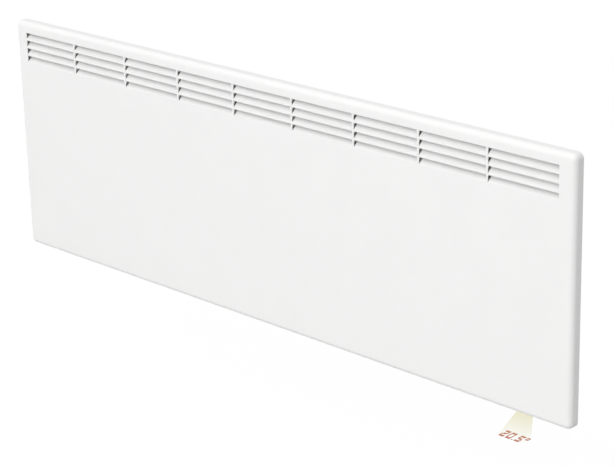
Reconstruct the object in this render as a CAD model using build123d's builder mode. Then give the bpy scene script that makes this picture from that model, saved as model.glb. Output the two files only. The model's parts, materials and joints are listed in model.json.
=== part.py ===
"""A wall-hung convector panel heater: pressed louvre front, rear air duct, finned element and tilt bracket.

Millimetres, +X to the viewer's right, +Y into the wall, +Z up. The wall is the plane y = 0 and the origin is
the centre of the four wall screws. Depths are distances from the wall, so a depth d lies at y = -d.
"""

from build123d import *
from math import cos, pi, radians, sin, sqrt, tan
import os

# Front panel: one pressed steel tray
PANEL_W = 1184.0
PANEL_H = 400.0
PANEL_Z = 24.0
TOTAL_DEPTH = 88.0
PANEL_SHEET = 0.8
RIM_DEPTH = 18.0
EDGE_R = 8.5
CORNER_R = 9.0
LIP_W = 14.0

# Louvres: sheared on three sides, folded inwards along the bottom
LOUVRE_COLS = 9
LOUVRE_ROWS = 4
LOUVRE_LENGTH = 122.5
LOUVRE_BAR = 3.5
LOUVRE_HEIGHT = 10.8
LOUVRE_STRIP = 2.4
LOUVRE_TOP_MARGIN = 18.5
BLADE_ANGLE = 47.0
BLADE_BEND_R = 1.0
BLADE_KERF = 0.4

# Rear casing
CASE_SHEET = 0.7
WALL_GAP = 24.0
CASE_SIDE_INSET = 46.0
CASE_TOP_INSET = 26.0
CASE_BOTTOM_INSET = 14.0
CASE_CORNER_R = 6.0
FLANGE_INSET = 4.0
INTAKE_SLOT_L = 22.0
INTAKE_SLOT_W = 8.0
INTAKE_PITCH = 30.0
INTAKE_ROW_PITCH = 18.0
INTAKE_END = 40.0

# Clearances
FIT = 0.3
PIN_FIT = 0.05
SCREW_FIT = 0.1
NOSE_FIT = 0.4

# How far a cutter runs past the face that it opens
PAST = 1.0

# Casing screws
SCREW_R = 1.8
SCREW_HEAD_R = 3.6
SCREW_HEAD_H = 2.2
SCREW_LENGTH = 5.0
SCREW_INSET = 8.6
SCREW_COLS = 4

# Finned element
ELEMENT_RISE = 60.0
ELEMENT_LEFT_GAP = 60.0
ELEMENT_RIGHT_GAP = 80.0
FIN_COUNT = 52
FIN_T = 0.9
FIN_H = 50.0
FIN_D = 32.0
CORE_D = 9.5
CORE_H = 32.0
SHEATH_R = 3.2
LEG_SPACING = 20.0
SHEATH_END = 22.0
BEND_END = 8.0
STUD_R = 1.6
STUD_L = 12.0
BUSH_R = 6.0
BUSH_FLANGE_R = 7.5
BUSH_FLANGE_T = 2.0
ELEMENT_BRACKET_T = 1.2
ELEMENT_BRACKET_FOOT = 14.0
ELEMENT_BRACKET_GAP = 6.0
SHIELD_T = 0.6
FRONT_SHIELD_DEPTH = 76.0
SHIELD_RISE = 250.0
SHIELD_CLEAR = 1.2
SHIELD_HEM = 3.0
REFLECTOR_STAND = 4.0
BAFFLE_R = 40.0
BAFFLE_TAB = 8.0
BAFFLE_LIP = 2.0

# Stiffener behind the front sheet
HAT_W = 30.0
HAT_D = 7.0
HAT_T = 0.8
HAT_LIP = 8.0
HAT_END = 90.0

# Control housing in the lower right corner of the casing
HOUSING_W = 108.0
HOUSING_H = 84.0
HOUSING_WALL = 2.0
HOUSING_EDGE_R = 3.0
POST = 6.0
LID_T = 2.0
LID_SCREW_R = 1.3
LID_SCREW_HEAD_R = 2.6
LID_SCREW_HEAD_H = 1.4
LID_SCREW_L = 10.0
BUTTON_R = 4.0
BUTTON_FLANGE_R = 5.0
BUTTON_FLANGE_T = 1.5
BUTTON_PROUD = 1.2
BUTTON_EDGE_R = 0.8
BUTTON_TRAVEL = 1.0
BUTTON_STEM_R = 1.5
BUTTON_STEM_L = 2.8
BUTTON_PITCH = 12.0
BUTTON_RISE = 14.0
BUTTON_DEPTH = 46.0
BUTTON_BOARD_END = 3.6
BOARD_T = 1.6
TACT_SIZE = 6.0
TACT_BODY_T = 1.5
TACT_CAP_R = 1.7
TACT_CAP_T = 0.6
WINDOW_W = 28.0
WINDOW_D = 10.0
WINDOW_T = 2.0
WINDOW_INSET = 36.0
SHROUD_GAP = 2.4
SHROUD_WALL = 1.5
SHROUD_H = 22.0
LENS_R = 4.5
LENS_SEAT = 1.0
LENS_CROWN = 1.6
LENS_RISE = 8.0
MASK_RISE = 14.0
MASK_T = 0.5
LAMP_BASE_R = 2.4
LAMP_BASE_H = 1.0
LAMP_R = 1.6
LAMP_H = 2.0
LAMP_TIP_R = 1.0
GLAND_X_INSET = 22.0
GLAND_DEPTH = 42.0
GLAND_BORE_R = 3.8
GLAND_R = 6.0
GLAND_FLANGE_R = 8.5
GLAND_FLANGE_T = 3.0
GLAND_DOME_R = 7.5
GLAND_DOME_L = 8.0
GLAND_THREAD_L = 12.0
GLAND_NOSE_R = 2.2
NUT_R = 9.0
NUT_T = 4.0

# Mains rocker in the right side of the housing
ROCKER_RISE = 64.0
SWITCH_CUT_Z = 19.2
SWITCH_CUT_Y = 12.9
SWITCH_WALL = 1.3
SWITCH_FLANGE = 1.6
SWITCH_FLANGE_OVER = 1.3
SWITCH_BODY_L = 18.0
SWITCH_ROOM = 1.5
ROCKER_HALF = 7.0
ROCKER_CROWN = 3.4
ROCKER_TILT = 10.0
ROCKER_SKIRT = 3.5
ROCKER_PIN_R = 1.0
ROCKER_PIN_L = 0.8
ROCKER_PIVOT_IN = 1.4

# Wall bracket
SCREW_SPACING_X = 600.0
SCREW_SPACING_Z = 180.0
WALL_HOLE_R = 3.0
UPRIGHT_W = 40.0
BRACKET_SHEET = 2.0
UPRIGHT_LEG_D = 11.7
UPRIGHT_DROP = 6.0
UPRIGHT_FOOT = 14.0
PIVOT_DEPTH = 12.0
PIVOT_RISE = 38.0
PIN_R = 4.0
HOOK_WALL = 4.4
HORN_H = 9.0
MOUTH_H = 18.0
LEAD_IN_H = 9.0
PIN_CRADLE_FIT = 0.1
RAIL_H = 30.0
RAIL_Z = 60.0
RAIL_TAB_D = 9.0
RIVET_R = 2.0
RIVET_HEAD_R = 2.8
RIVET_HEAD_T = 1.2
RIVET_DEPTH = 6.2

# Hangers and strikes on the back of the casing
HANGER_T = 1.6
HANGER_W = 58.0
HANGER_H = 34.0
EAR_R = 6.5
EAR_GAP = 3.0
PIN_HEAD_R = 5.5
PIN_HEAD_T = 1.5
STRIKE_W = 50.0
STRIKE_DROP = 32.0
STRIKE_BEND_R = 1.0
STRIKE_LIP_H = 8.0
STRIKE_FOOT_H = 18.0
PAD_T = 1.2
PAD_SIZE = 5.0
PAD_RISE = 1.0

# Sprung catches at the top of the bracket
CATCH_NEAR = 3.0
CATCH_T = 6.5
CATCH_SIDE_FIT = 0.5
CATCH_H = 56.0
CATCH_DROP = 8.0
CATCH_TRAVEL = 6.0
CATCH_OVERLAP = 5.0
CATCH_ARM_T = 4.0
ARM_CLEAR = 1.0
NOSE_T = 4.0
NOSE_W = 30.0
THUMB_T = 4.0
THUMB_DEPTH = 20.0
BRIDGE_T = 1.7
BRIDGE_H = 12.0
SHOULDER_H = 3.7
SPRING_R = 3.0
SPRING_WIRE_R = 0.45
SPRING_TURNS = 5
SPRING_STEPS = 3
WIRE_SIDES = 8
SPRING_LENGTH = 22.0
SEAT_T = 2.0
SEAT_W = 16.0
SEAT_LIP = 1.0

# Small electrical parts
CUTOUT_RISE = 30.0
CUTOUT_R = 8.0
CUTOUT_BASE_T = 1.2
CUTOUT_BASE_L = 28.0
CUTOUT_BASE_W = 14.4
CUTOUT_BODY_T = 9.0
TAB_L = 8.0
TAB_W = 6.3
TAB_T = 0.8
TAB_SPACING = 8.0
CLIP_H = 14.0
CLIP_POST_T = 2.0
CLIP_POST_D = 6.0
CLIP_BASE_L = 10.0
CLIP_BASE_D = 8.0
CLIP_BASE_T = 1.2
SENSOR_R = 2.0
SENSOR_L = 7.0
SENSOR_TIP_R = 1.6
EARTH_RISE = 22.0
EARTH_WASHER_R = 5.0
EARTH_WASHER_T = 1.6
EARTH_STUD_L = 6.0
BOARD_STAND = 3.5
BOARD_SCREW_SHORT = 1.0
BOARD_EDGE = 4.0
BOARD_LEFT_GAP = 1.0
BOARD_SWITCH_GAP = 6.0
BOARD_SHROUD_GAP = 5.0
BOARD_ROOF_GAP = 3.0
BOARD_POST_R = 3.0
RIB_T = 1.2
RIB_H = 4.0
TERMINAL_H = 16.0
TERMINAL_L = 14.0
TERMINAL_D = 14.0
TERMINAL_INSET = 8.0
TERMINAL_DROP = 3.0
TERMINAL_WELL = 3.0
LEAD_R = 1.4
LEAD_PITCH = 4.5
LEAD_BEND = 10.0
LEAD_ARC_SHARE = 0.35
LEAD_SIDE = 2.0
LEAD_FORWARD = 3.0
LID_VENTS = 9
LID_VENT_PITCH = 7.0
LID_VENT_L = 26.0
LID_VENT_W = 3.0
TRANSFORMER_W = 26.0
TRANSFORMER_H = 20.0
TRANSFORMER_D = 22.0
RELAY_W = 24.0
RELAY_H = 13.0
RELAY_D = 16.0
COMPONENT_RISE = 7.5
COMPONENT_INSET = 3.0
TRANSFORMER_EDGE = 1.5
RELAY_EDGE = 0.8
CAP_R = 6.0
CAP_L = 18.0
CAP_EDGE_R = 1.0
CAP_GAP = 1.0

# Worked out from the sizes above
FRONT = TOTAL_DEPTH
RIM_BACK = FRONT - RIM_DEPTH
PANEL_TOP = PANEL_Z + PANEL_H / 2
PANEL_BOTTOM = PANEL_Z - PANEL_H / 2
PANEL_RIGHT = PANEL_W / 2
CASE_RIGHT = PANEL_RIGHT - CASE_SIDE_INSET
CASE_TOP = PANEL_TOP - CASE_TOP_INSET
CASE_BOTTOM = PANEL_BOTTOM + CASE_BOTTOM_INSET
CASE_W = 2 * CASE_RIGHT
CASE_H = CASE_TOP - CASE_BOTTOM
CASE_Z = (CASE_TOP + CASE_BOTTOM) / 2
CASE_BACK_IN = WALL_GAP + CASE_SHEET
LOUVRE_PITCH_X = LOUVRE_LENGTH + LOUVRE_BAR
LOUVRE_PITCH_Z = LOUVRE_HEIGHT + LOUVRE_STRIP
LOUVRE_FIRST_TOP = PANEL_TOP - LOUVRE_TOP_MARGIN
FLANGE_RIGHT = PANEL_RIGHT - FLANGE_INSET
SCREW_RIGHT = PANEL_RIGHT - SCREW_INSET
SCREW_UP = PANEL_H / 2 - SCREW_INSET

HX1 = CASE_RIGHT
HX0 = CASE_RIGHT - HOUSING_W + FIT
HZ0 = CASE_BOTTOM
HZ1 = CASE_BOTTOM + HOUSING_H - FIT
H_FRONT = RIM_BACK - CASE_SHEET - FIT
H_BACK = WALL_GAP
H_IN_LEFT = HX0 + HOUSING_WALL
H_IN_RIGHT = HX1 - HOUSING_WALL
H_IN_FLOOR = HZ0 + HOUSING_WALL
H_IN_ROOF = HZ1 - HOUSING_WALL
H_IN_FRONT = H_FRONT - HOUSING_WALL
LID_IN = H_BACK + LID_T
LID_SCREW_SEAT = H_BACK + LID_SCREW_HEAD_H / 2

ELEMENT_Z = CASE_BOTTOM + ELEMENT_RISE
ELEMENT_DEPTH = (CASE_BACK_IN + FRONT_SHIELD_DEPTH) / 2
ELEMENT_LEFT = -CASE_RIGHT + ELEMENT_LEFT_GAP
ELEMENT_RIGHT = HX0 - ELEMENT_RIGHT_GAP
SHEATH_TIP = ELEMENT_RIGHT + SHEATH_END
STUD_TIP = SHEATH_TIP + STUD_L
LEG_RISES = (ELEMENT_Z - LEG_SPACING / 2, ELEMENT_Z + LEG_SPACING / 2)

PIVOT_Z = CASE_BOTTOM + PIVOT_RISE
UPRIGHT_TOP = CASE_TOP - UPRIGHT_DROP
STRIKE_LIP_Z = CASE_TOP - STRIKE_DROP
CATCH_TOP_Z = CASE_TOP - CATCH_DROP
CATCH_FOOT_Z = CATCH_TOP_Z - CATCH_H
UPRIGHT_X = SCREW_SPACING_X / 2
STRIKE_REAR = PIVOT_DEPTH
LIP_NEAR = STRIKE_REAR + PAD_T
LIP_FAR = LIP_NEAR + HANGER_T
CATCH_FAR = CATCH_NEAR + CATCH_T
NOSE_NEAR = LIP_FAR + NOSE_FIT
SPRING_FOOT_Z = CATCH_FOOT_Z - SPRING_LENGTH
BRIDGE_Z = CATCH_FOOT_Z + SHOULDER_H + FIT
SPRING_DEPTH = CATCH_NEAR + CATCH_T / 2

GLAND_X = HX0 + GLAND_X_INSET
WINDOW_X = HX1 - WINDOW_INSET
WINDOW_DEPTH = H_IN_FRONT - SHROUD_GAP - SHROUD_WALL - WINDOW_D / 2
ROCKER_Z = HZ0 + ROCKER_RISE
ROCKER_PIVOT_X = HX1 - ROCKER_PIVOT_IN
BUTTON_RISES = [HZ0 + BUTTON_RISE + n * BUTTON_PITCH for n in range(3)]
BUTTON_INNER = HX1 - HOUSING_WALL - FIT - BUTTON_FLANGE_T
STEM_TIP = BUTTON_INNER - BUTTON_STEM_L
TACT_TOP = STEM_TIP - BUTTON_TRAVEL - FIT
BUTTON_BOARD_X = TACT_TOP - TACT_CAP_T - TACT_BODY_T - BOARD_T

POWER_BOARD_LEFT = H_IN_LEFT + POST + BOARD_LEFT_GAP
POWER_BOARD_X = (POWER_BOARD_LEFT, H_IN_RIGHT - SWITCH_BODY_L - BOARD_SWITCH_GAP)
POWER_BOARD_Z = (H_IN_FLOOR + SHROUD_H + BOARD_SHROUD_GAP, H_IN_ROOF - BOARD_ROOF_GAP)
POWER_BOARD_FAR = H_IN_FRONT - BOARD_STAND
POWER_BOARD_NEAR = POWER_BOARD_FAR - BOARD_T
BOARD_SCREW_L = BOARD_T + BOARD_STAND - BOARD_SCREW_SHORT
TERMINAL_Z = POWER_BOARD_Z[1] - TERMINAL_H / 2 - TERMINAL_DROP
TERMINAL_X = (POWER_BOARD_LEFT + TERMINAL_INSET, POWER_BOARD_LEFT + TERMINAL_INSET + TERMINAL_L)
LEAD_ROWS = [TERMINAL_Z + n * LEAD_PITCH for n in (-1, 0, 1)]
LEAD_DEPTH = POWER_BOARD_NEAR - TERMINAL_D / 2

CUTOUT_X = (STUD_TIP + HX0) / 2
CUTOUT_Z = HZ1 + CUTOUT_RISE
TAB_TIP = CASE_BACK_IN + CUTOUT_BASE_T + CUTOUT_BODY_T + TAB_L
TAB_RISES = (CUTOUT_Z - TAB_SPACING / 2, CUTOUT_Z + TAB_SPACING / 2)
EARTH_Z = CASE_BOTTOM + EARTH_RISE

os.makedirs("parts", exist_ok=True)


def save(part, name):
    """Names a finished piece and writes it to its own file."""
    part.label = name
    export_step(part, f"parts/{name}.step")


def middle(span):
    """The middle of a pair of values."""
    return (span[0] + span[1]) / 2


def around(centre, length):
    """The span of a length about its middle."""
    return (centre - length / 2, centre + length / 2)


def block(x, depth, z, mode=Mode.ADD):
    """A plain block in the piece being built: spans along X, of depth from the wall, and of height."""
    with BuildSketch(Plane.XY.offset(z[0])) as foot:
        with Locations((middle(x), -middle(depth))):
            Rectangle(x[1] - x[0], depth[1] - depth[0])
    extrude(foot.sketch, amount=z[1] - z[0], mode=mode)


def rod_back(x, z, depth, radius, mode=Mode.ADD):
    """A round rod along Y between two depths."""
    with BuildSketch(Plane.XZ.offset(depth[0])) as end:
        with Locations((x, z)):
            Circle(radius)
    extrude(end.sketch, amount=depth[1] - depth[0], mode=mode)


def rod_side(x, depth, z, radius, mode=Mode.ADD):
    """A round rod along X between two values of x."""
    with BuildSketch(Plane.YZ.offset(x[0])) as end:
        with Locations((-depth, z)):
            Circle(radius)
    extrude(end.sketch, amount=x[1] - x[0], mode=mode)


def rod_up(x, depth, z, radius, mode=Mode.ADD):
    """A round rod along Z between two heights."""
    with BuildSketch(Plane.XY.offset(z[0])) as end:
        with Locations((x, -depth)):
            Circle(radius)
    extrude(end.sketch, amount=z[1] - z[0], mode=mode)


def pressed_form(width, height, centre_z, front, back, corner_r, edge_r, rounded_end):
    """A rounded slab between two depths whose front or back edge is rolled over."""
    with BuildPart() as form:
        with BuildSketch(Plane.XZ.offset(front)):
            with Locations((0, centre_z)):
                RectangleRounded(width, height, corner_r)
        extrude(amount=back - front)
        end = form.faces().sort_by(Axis.Y)[0 if rounded_end == "front" else -1]
        fillet(end.edges(), edge_r)
    return form.part


# ---------------------------------------------------------------- front panel

def louvre_columns():
    """The left end of each louvre column."""
    first = -(LOUVRE_COLS * LOUVRE_PITCH_X - LOUVRE_BAR) / 2
    return [first + n * LOUVRE_PITCH_X for n in range(LOUVRE_COLS)]


def louvre_folds():
    """The height of each louvre row's fold, which is the lower edge of its slot."""
    return [LOUVRE_FIRST_TOP - LOUVRE_HEIGHT - n * LOUVRE_PITCH_Z for n in range(LOUVRE_ROWS)]


def casing_screw_points():
    """Places of the screws that hold the casing's flange to the panel's lip, as (x, z)."""
    span = SCREW_RIGHT - SCREW_INSET
    columns = [-span + 2 * span * n / (SCREW_COLS - 1) for n in range(SCREW_COLS)]
    edges = [(x, PANEL_Z + side * SCREW_UP) for x in columns for side in (-1, 1)]
    return edges + [(-SCREW_RIGHT, PANEL_Z), (SCREW_RIGHT, PANEL_Z)]


def front_panel():
    """The tray with its rolled edge and turned-in lip, and the louvres pressed into its face."""
    outer = pressed_form(PANEL_W, PANEL_H, PANEL_Z, FRONT, RIM_BACK, CORNER_R, EDGE_R, "front")
    cavity = pressed_form(
        PANEL_W - 2 * PANEL_SHEET, PANEL_H - 2 * PANEL_SHEET, PANEL_Z, FRONT - PANEL_SHEET,
        RIM_BACK + PANEL_SHEET, CORNER_R - PANEL_SHEET, EDGE_R - PANEL_SHEET, "front",
    )
    slots = [
        (x + LOUVRE_LENGTH / 2, z + LOUVRE_HEIGHT / 2)
        for x in louvre_columns() for z in louvre_folds()
    ]
    turn = radians(BLADE_ANGLE)
    outer_r = BLADE_BEND_R + PANEL_SHEET
    along = (sin(turn), cos(turn))
    length = LOUVRE_HEIGHT - BLADE_KERF - (BLADE_BEND_R + PANEL_SHEET / 2) * turn
    with BuildPart() as panel:
        add(outer)
        add(cavity, mode=Mode.SUBTRACT)
        with BuildSketch(Plane.XZ.offset(RIM_BACK)):
            with Locations((0, PANEL_Z)):
                Rectangle(PANEL_W - 2 * LIP_W, PANEL_H - 2 * LIP_W)
        extrude(amount=1.5 * PANEL_SHEET, mode=Mode.SUBTRACT)
        with BuildSketch(Plane.XZ.offset(RIM_BACK)):
            with Locations(*casing_screw_points()):
                Circle(SCREW_R + SCREW_FIT)
        extrude(amount=1.5 * PANEL_SHEET, mode=Mode.SUBTRACT)
        with BuildSketch(Plane.XZ.offset(FRONT)):
            with Locations(*slots):
                Rectangle(LOUVRE_LENGTH, LOUVRE_HEIGHT)
        extrude(amount=-1.5 * PANEL_SHEET, mode=Mode.SUBTRACT)
        for left in louvre_columns():
            with BuildSketch(Plane.YZ.offset(left + BLADE_KERF)):
                for fold in louvre_folds():
                    centre = (-FRONT + outer_r, fold)
                    front_root = (-FRONT, fold)
                    back_root = (-FRONT + PANEL_SHEET, fold)
                    bend_out = (centre[0] - outer_r * cos(turn), fold + outer_r * sin(turn))
                    bend_in = (centre[0] - BLADE_BEND_R * cos(turn), fold + BLADE_BEND_R * sin(turn))
                    tip_out = (bend_out[0] + length * along[0], bend_out[1] + length * along[1])
                    tip_in = (bend_in[0] + length * along[0], bend_in[1] + length * along[1])
                    with BuildLine():
                        RadiusArc(front_root, bend_out, outer_r)
                        Line(bend_out, tip_out)
                        Line(tip_out, tip_in)
                        Line(tip_in, bend_in)
                        RadiusArc(bend_in, back_root, -BLADE_BEND_R)
                        Line(back_root, front_root)
                    make_face()
            extrude(amount=LOUVRE_LENGTH - 2 * BLADE_KERF)
    return panel.part


def panel_stiffener():
    """A hat-section strip bonded behind the face, which keeps it from drumming."""
    face = FRONT - PANEL_SHEET
    half = HAT_W / 2
    with BuildPart() as hat:
        with BuildSketch(Plane.YZ.offset(-PANEL_RIGHT + HAT_END)):
            with Locations((-face + HAT_D / 2, PANEL_Z)):
                Rectangle(HAT_D, HAT_W)
            with Locations((-face + HAT_T / 2, PANEL_Z)):
                Rectangle(HAT_T, HAT_W + 2 * HAT_LIP)
            with Locations((-face + (HAT_D - HAT_T) / 2, PANEL_Z)):
                Rectangle(HAT_D - HAT_T, 2 * (half - HAT_T), mode=Mode.SUBTRACT)
        extrude(amount=PANEL_W - 2 * HAT_END)
    return hat.part


# ---------------------------------------------------------------- rear casing

def rear_casing():
    """The duct behind the panel: a flange all round, a drawn box and an intake grille in its underside."""
    box = pressed_form(CASE_W, CASE_H, CASE_Z, RIM_BACK, WALL_GAP, CASE_CORNER_R, HOUSING_EDGE_R, "back")
    room = pressed_form(
        CASE_W - 2 * CASE_SHEET, CASE_H - 2 * CASE_SHEET, CASE_Z, RIM_BACK, CASE_BACK_IN,
        CASE_CORNER_R - CASE_SHEET, HOUSING_EDGE_R - CASE_SHEET, "back",
    )
    first = -CASE_RIGHT + INTAKE_END
    last = HX0 - INTAKE_END
    count = int((last - first) / INTAKE_PITCH) + 1
    rows = [-middle((RIM_BACK, WALL_GAP)) + side * INTAKE_ROW_PITCH / 2 for side in (-1, 1)]
    slots = [(first + n * INTAKE_PITCH, y) for n in range(count) for y in rows]
    with BuildPart() as casing:
        with BuildSketch(Plane.XZ.offset(RIM_BACK)):
            with Locations((0, PANEL_Z)):
                RectangleRounded(2 * FLANGE_RIGHT, PANEL_H - 2 * FLANGE_INSET, CORNER_R - FLANGE_INSET)
        extrude(amount=-CASE_SHEET)
        add(box)
        add(room, mode=Mode.SUBTRACT)
        block(
            (CASE_RIGHT - HOUSING_W, CASE_RIGHT + FIT), (WALL_GAP - FIT, RIM_BACK - CASE_SHEET),
            (CASE_BOTTOM - FIT, CASE_BOTTOM + HOUSING_H), mode=Mode.SUBTRACT,
        )
        with BuildSketch(Plane.XY.offset(CASE_BOTTOM - CASE_SHEET)):
            with Locations(*slots):
                Rectangle(INTAKE_SLOT_L, INTAKE_SLOT_W)
        extrude(amount=3 * CASE_SHEET, mode=Mode.SUBTRACT)
        with BuildSketch(Plane.XZ.offset(RIM_BACK + CASE_SHEET)):
            with Locations(*casing_screw_points()):
                Circle(SCREW_R + SCREW_FIT)
        extrude(amount=-3 * CASE_SHEET, mode=Mode.SUBTRACT)
    return casing.part


def casing_screws():
    """Pan-head screws through the flange into the panel's lip."""
    seat = RIM_BACK - CASE_SHEET
    with BuildPart() as screws:
        with BuildSketch(Plane.XZ.offset(seat)):
            with Locations(*casing_screw_points()):
                Circle(SCREW_HEAD_R)
        extrude(amount=-SCREW_HEAD_H)
        with BuildSketch(Plane.XZ.offset(seat)):
            with Locations(*casing_screw_points()):
                Circle(SCREW_R)
        extrude(amount=SCREW_LENGTH)
        heads = screws.faces().filter_by(Axis.Y).group_by(Axis.Y)[-1]
        chamfer(heads.edges(), SCREW_HEAD_H / 3)
    return screws.part


# ---------------------------------------------------------------- heating element

def element_fins():
    """An aluminium core with two bores, and plate fins standing across it."""
    pitch = (ELEMENT_RIGHT - ELEMENT_LEFT - FIN_T) / (FIN_COUNT - 1)
    with BuildPart() as fins:
        with BuildSketch(Plane.YZ.offset(ELEMENT_LEFT)):
            with Locations((-ELEMENT_DEPTH, ELEMENT_Z)):
                Rectangle(CORE_D, CORE_H)
        extrude(amount=ELEMENT_RIGHT - ELEMENT_LEFT)
        for n in range(FIN_COUNT):
            with BuildSketch(Plane.YZ.offset(ELEMENT_LEFT + n * pitch)):
                with Locations((-ELEMENT_DEPTH, ELEMENT_Z)):
                    Rectangle(FIN_D, FIN_H)
            extrude(amount=FIN_T)
        for z in LEG_RISES:
            rod_side((ELEMENT_LEFT, ELEMENT_RIGHT), ELEMENT_DEPTH, z, SHEATH_R + PIN_FIT, Mode.SUBTRACT)
    return fins.part


def element_tube():
    """The sheathed heating rod: two legs joined by a half turn at the left end."""
    low, high = LEG_RISES
    turn_x = ELEMENT_LEFT - BEND_END - ELEMENT_BRACKET_GAP
    with BuildPart() as tube:
        with BuildLine() as path:
            Line((SHEATH_TIP, -ELEMENT_DEPTH, low), (turn_x, -ELEMENT_DEPTH, low))
            ThreePointArc(
                (turn_x, -ELEMENT_DEPTH, low),
                (turn_x - LEG_SPACING / 2, -ELEMENT_DEPTH, ELEMENT_Z),
                (turn_x, -ELEMENT_DEPTH, high),
            )
            Line((turn_x, -ELEMENT_DEPTH, high), (SHEATH_TIP, -ELEMENT_DEPTH, high))
        with BuildSketch(Plane((SHEATH_TIP, -ELEMENT_DEPTH, low), z_dir=(-1, 0, 0))):
            Circle(SHEATH_R)
        sweep(path=path.wires()[0])
    return tube.part


def element_terminals():
    """Threaded studs that carry the current into the two ends of the rod."""
    with BuildPart() as studs:
        for z in LEG_RISES:
            rod_side((SHEATH_TIP, STUD_TIP), ELEMENT_DEPTH, z, STUD_R)
            rod_side((SHEATH_TIP, SHEATH_TIP + STUD_L / 4), ELEMENT_DEPTH, z, 2 * STUD_R)
    return studs.part


def bracket_plate_x(side):
    """The span of an element bracket's plate along X; side is -1 at the left end and 1 at the right."""
    if side < 0:
        return (ELEMENT_LEFT - ELEMENT_BRACKET_GAP - ELEMENT_BRACKET_T, ELEMENT_LEFT - ELEMENT_BRACKET_GAP)
    return (ELEMENT_RIGHT + ELEMENT_BRACKET_GAP, ELEMENT_RIGHT + ELEMENT_BRACKET_GAP + ELEMENT_BRACKET_T)


def element_bracket(side):
    """A folded steel bracket: foot on the casing, web across the element, tab under the front shield."""
    x = bracket_plate_x(side)
    outer = x[0] if side < 0 else x[1]
    foot = sorted((outer, outer + side * ELEMENT_BRACKET_FOOT))
    tall = (ELEMENT_Z - FIN_H / 2, ELEMENT_Z + FIN_H / 2)
    with BuildPart() as bracket:
        block(x, (CASE_BACK_IN, FRONT_SHIELD_DEPTH), tall)
        block(foot, (CASE_BACK_IN, CASE_BACK_IN + ELEMENT_BRACKET_T), tall)
        block(foot, (FRONT_SHIELD_DEPTH - ELEMENT_BRACKET_T, FRONT_SHIELD_DEPTH), tall)
        for z in LEG_RISES:
            rod_side((x[0] - PAST, x[1] + PAST), ELEMENT_DEPTH, z, BUSH_R + PIN_FIT, Mode.SUBTRACT)
    return bracket.part


def element_bushes():
    """Ceramic bushes that let the hot rod slide in its brackets."""
    with BuildPart() as bushes:
        for side in (-1, 1):
            x = bracket_plate_x(side)
            outer = x[0] - BUSH_FLANGE_T if side < 0 else x[1]
            for z in LEG_RISES:
                rod_side((outer, outer + BUSH_FLANGE_T), ELEMENT_DEPTH, z, BUSH_FLANGE_R)
                rod_side(x, ELEMENT_DEPTH, z, BUSH_R)
                bore = (x[0] - BUSH_FLANGE_T - PAST, x[1] + BUSH_FLANGE_T + PAST)
                rod_side(bore, ELEMENT_DEPTH, z, SHEATH_R + PIN_FIT, Mode.SUBTRACT)
    return bushes.part


def front_shield():
    """A bright sheet between the element and the front panel, held by the element brackets."""
    left = bracket_plate_x(-1)[1] - ELEMENT_BRACKET_FOOT
    right = bracket_plate_x(1)[0] + ELEMENT_BRACKET_FOOT
    low = CASE_BOTTOM + SHIELD_CLEAR
    hem = SHIELD_HEM
    with BuildPart() as shield:
        with BuildSketch(Plane.YZ.offset(left)):
            with Locations((-FRONT_SHIELD_DEPTH - SHIELD_T / 2, low + SHIELD_RISE / 2)):
                Rectangle(SHIELD_T, SHIELD_RISE)
            with Locations((-FRONT_SHIELD_DEPTH - hem / 2, low + SHIELD_RISE - SHIELD_T / 2)):
                Rectangle(hem, SHIELD_T)
            with Locations((-FRONT_SHIELD_DEPTH - hem / 2, low + SHIELD_T / 2)):
                Rectangle(hem, SHIELD_T)
        extrude(amount=right - left)
    return shield.part


def heat_reflector():
    """A shallow channel of bright sheet that keeps the element's heat off the wall side."""
    left = bracket_plate_x(-1)[1] + SHIELD_T
    right = bracket_plate_x(1)[0] - SHIELD_T
    low = CASE_BOTTOM + ELEMENT_BRACKET_FOOT
    deep = CASE_BACK_IN + REFLECTOR_STAND
    with BuildPart() as reflector:
        with BuildSketch(Plane.YZ.offset(left)):
            with Locations((-middle((CASE_BACK_IN, deep)), low + SHIELD_RISE / 2)):
                Rectangle(REFLECTOR_STAND, SHIELD_RISE)
            with Locations((-middle((CASE_BACK_IN, deep - SHIELD_T)), low + SHIELD_RISE / 2)):
                Rectangle(REFLECTOR_STAND - SHIELD_T, SHIELD_RISE - 2 * SHIELD_T, mode=Mode.SUBTRACT)
        extrude(amount=right - left)
    return reflector.part


def air_baffle():
    """A curved sheet at the top of the duct that turns the rising air forwards to the louvres."""
    roof = CASE_TOP - CASE_SHEET
    back = -CASE_BACK_IN
    inner_r = BAFFLE_R - SHIELD_T
    length = CASE_W - 2 * CASE_CORNER_R
    with BuildPart() as baffle:
        with BuildSketch(Plane.YZ.offset(-length / 2)):
            with BuildLine():
                Polyline((back, roof - BAFFLE_R), (back, roof - BAFFLE_R - BAFFLE_TAB),
                         (back - SHIELD_T, roof - BAFFLE_R - BAFFLE_TAB), (back - SHIELD_T, roof - BAFFLE_R))
                RadiusArc((back - SHIELD_T, roof - BAFFLE_R), (back - BAFFLE_R, roof - SHIELD_T), -inner_r)
                Polyline((back - BAFFLE_R, roof - SHIELD_T), (back - BAFFLE_R - BAFFLE_LIP, roof - SHIELD_T),
                         (back - BAFFLE_R - BAFFLE_LIP, roof), (back - BAFFLE_R, roof))
                RadiusArc((back - BAFFLE_R, roof), (back, roof - BAFFLE_R), BAFFLE_R)
            make_face()
        extrude(amount=length)
    return baffle.part


# ---------------------------------------------------------------- overheat cut-out and sensor

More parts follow.
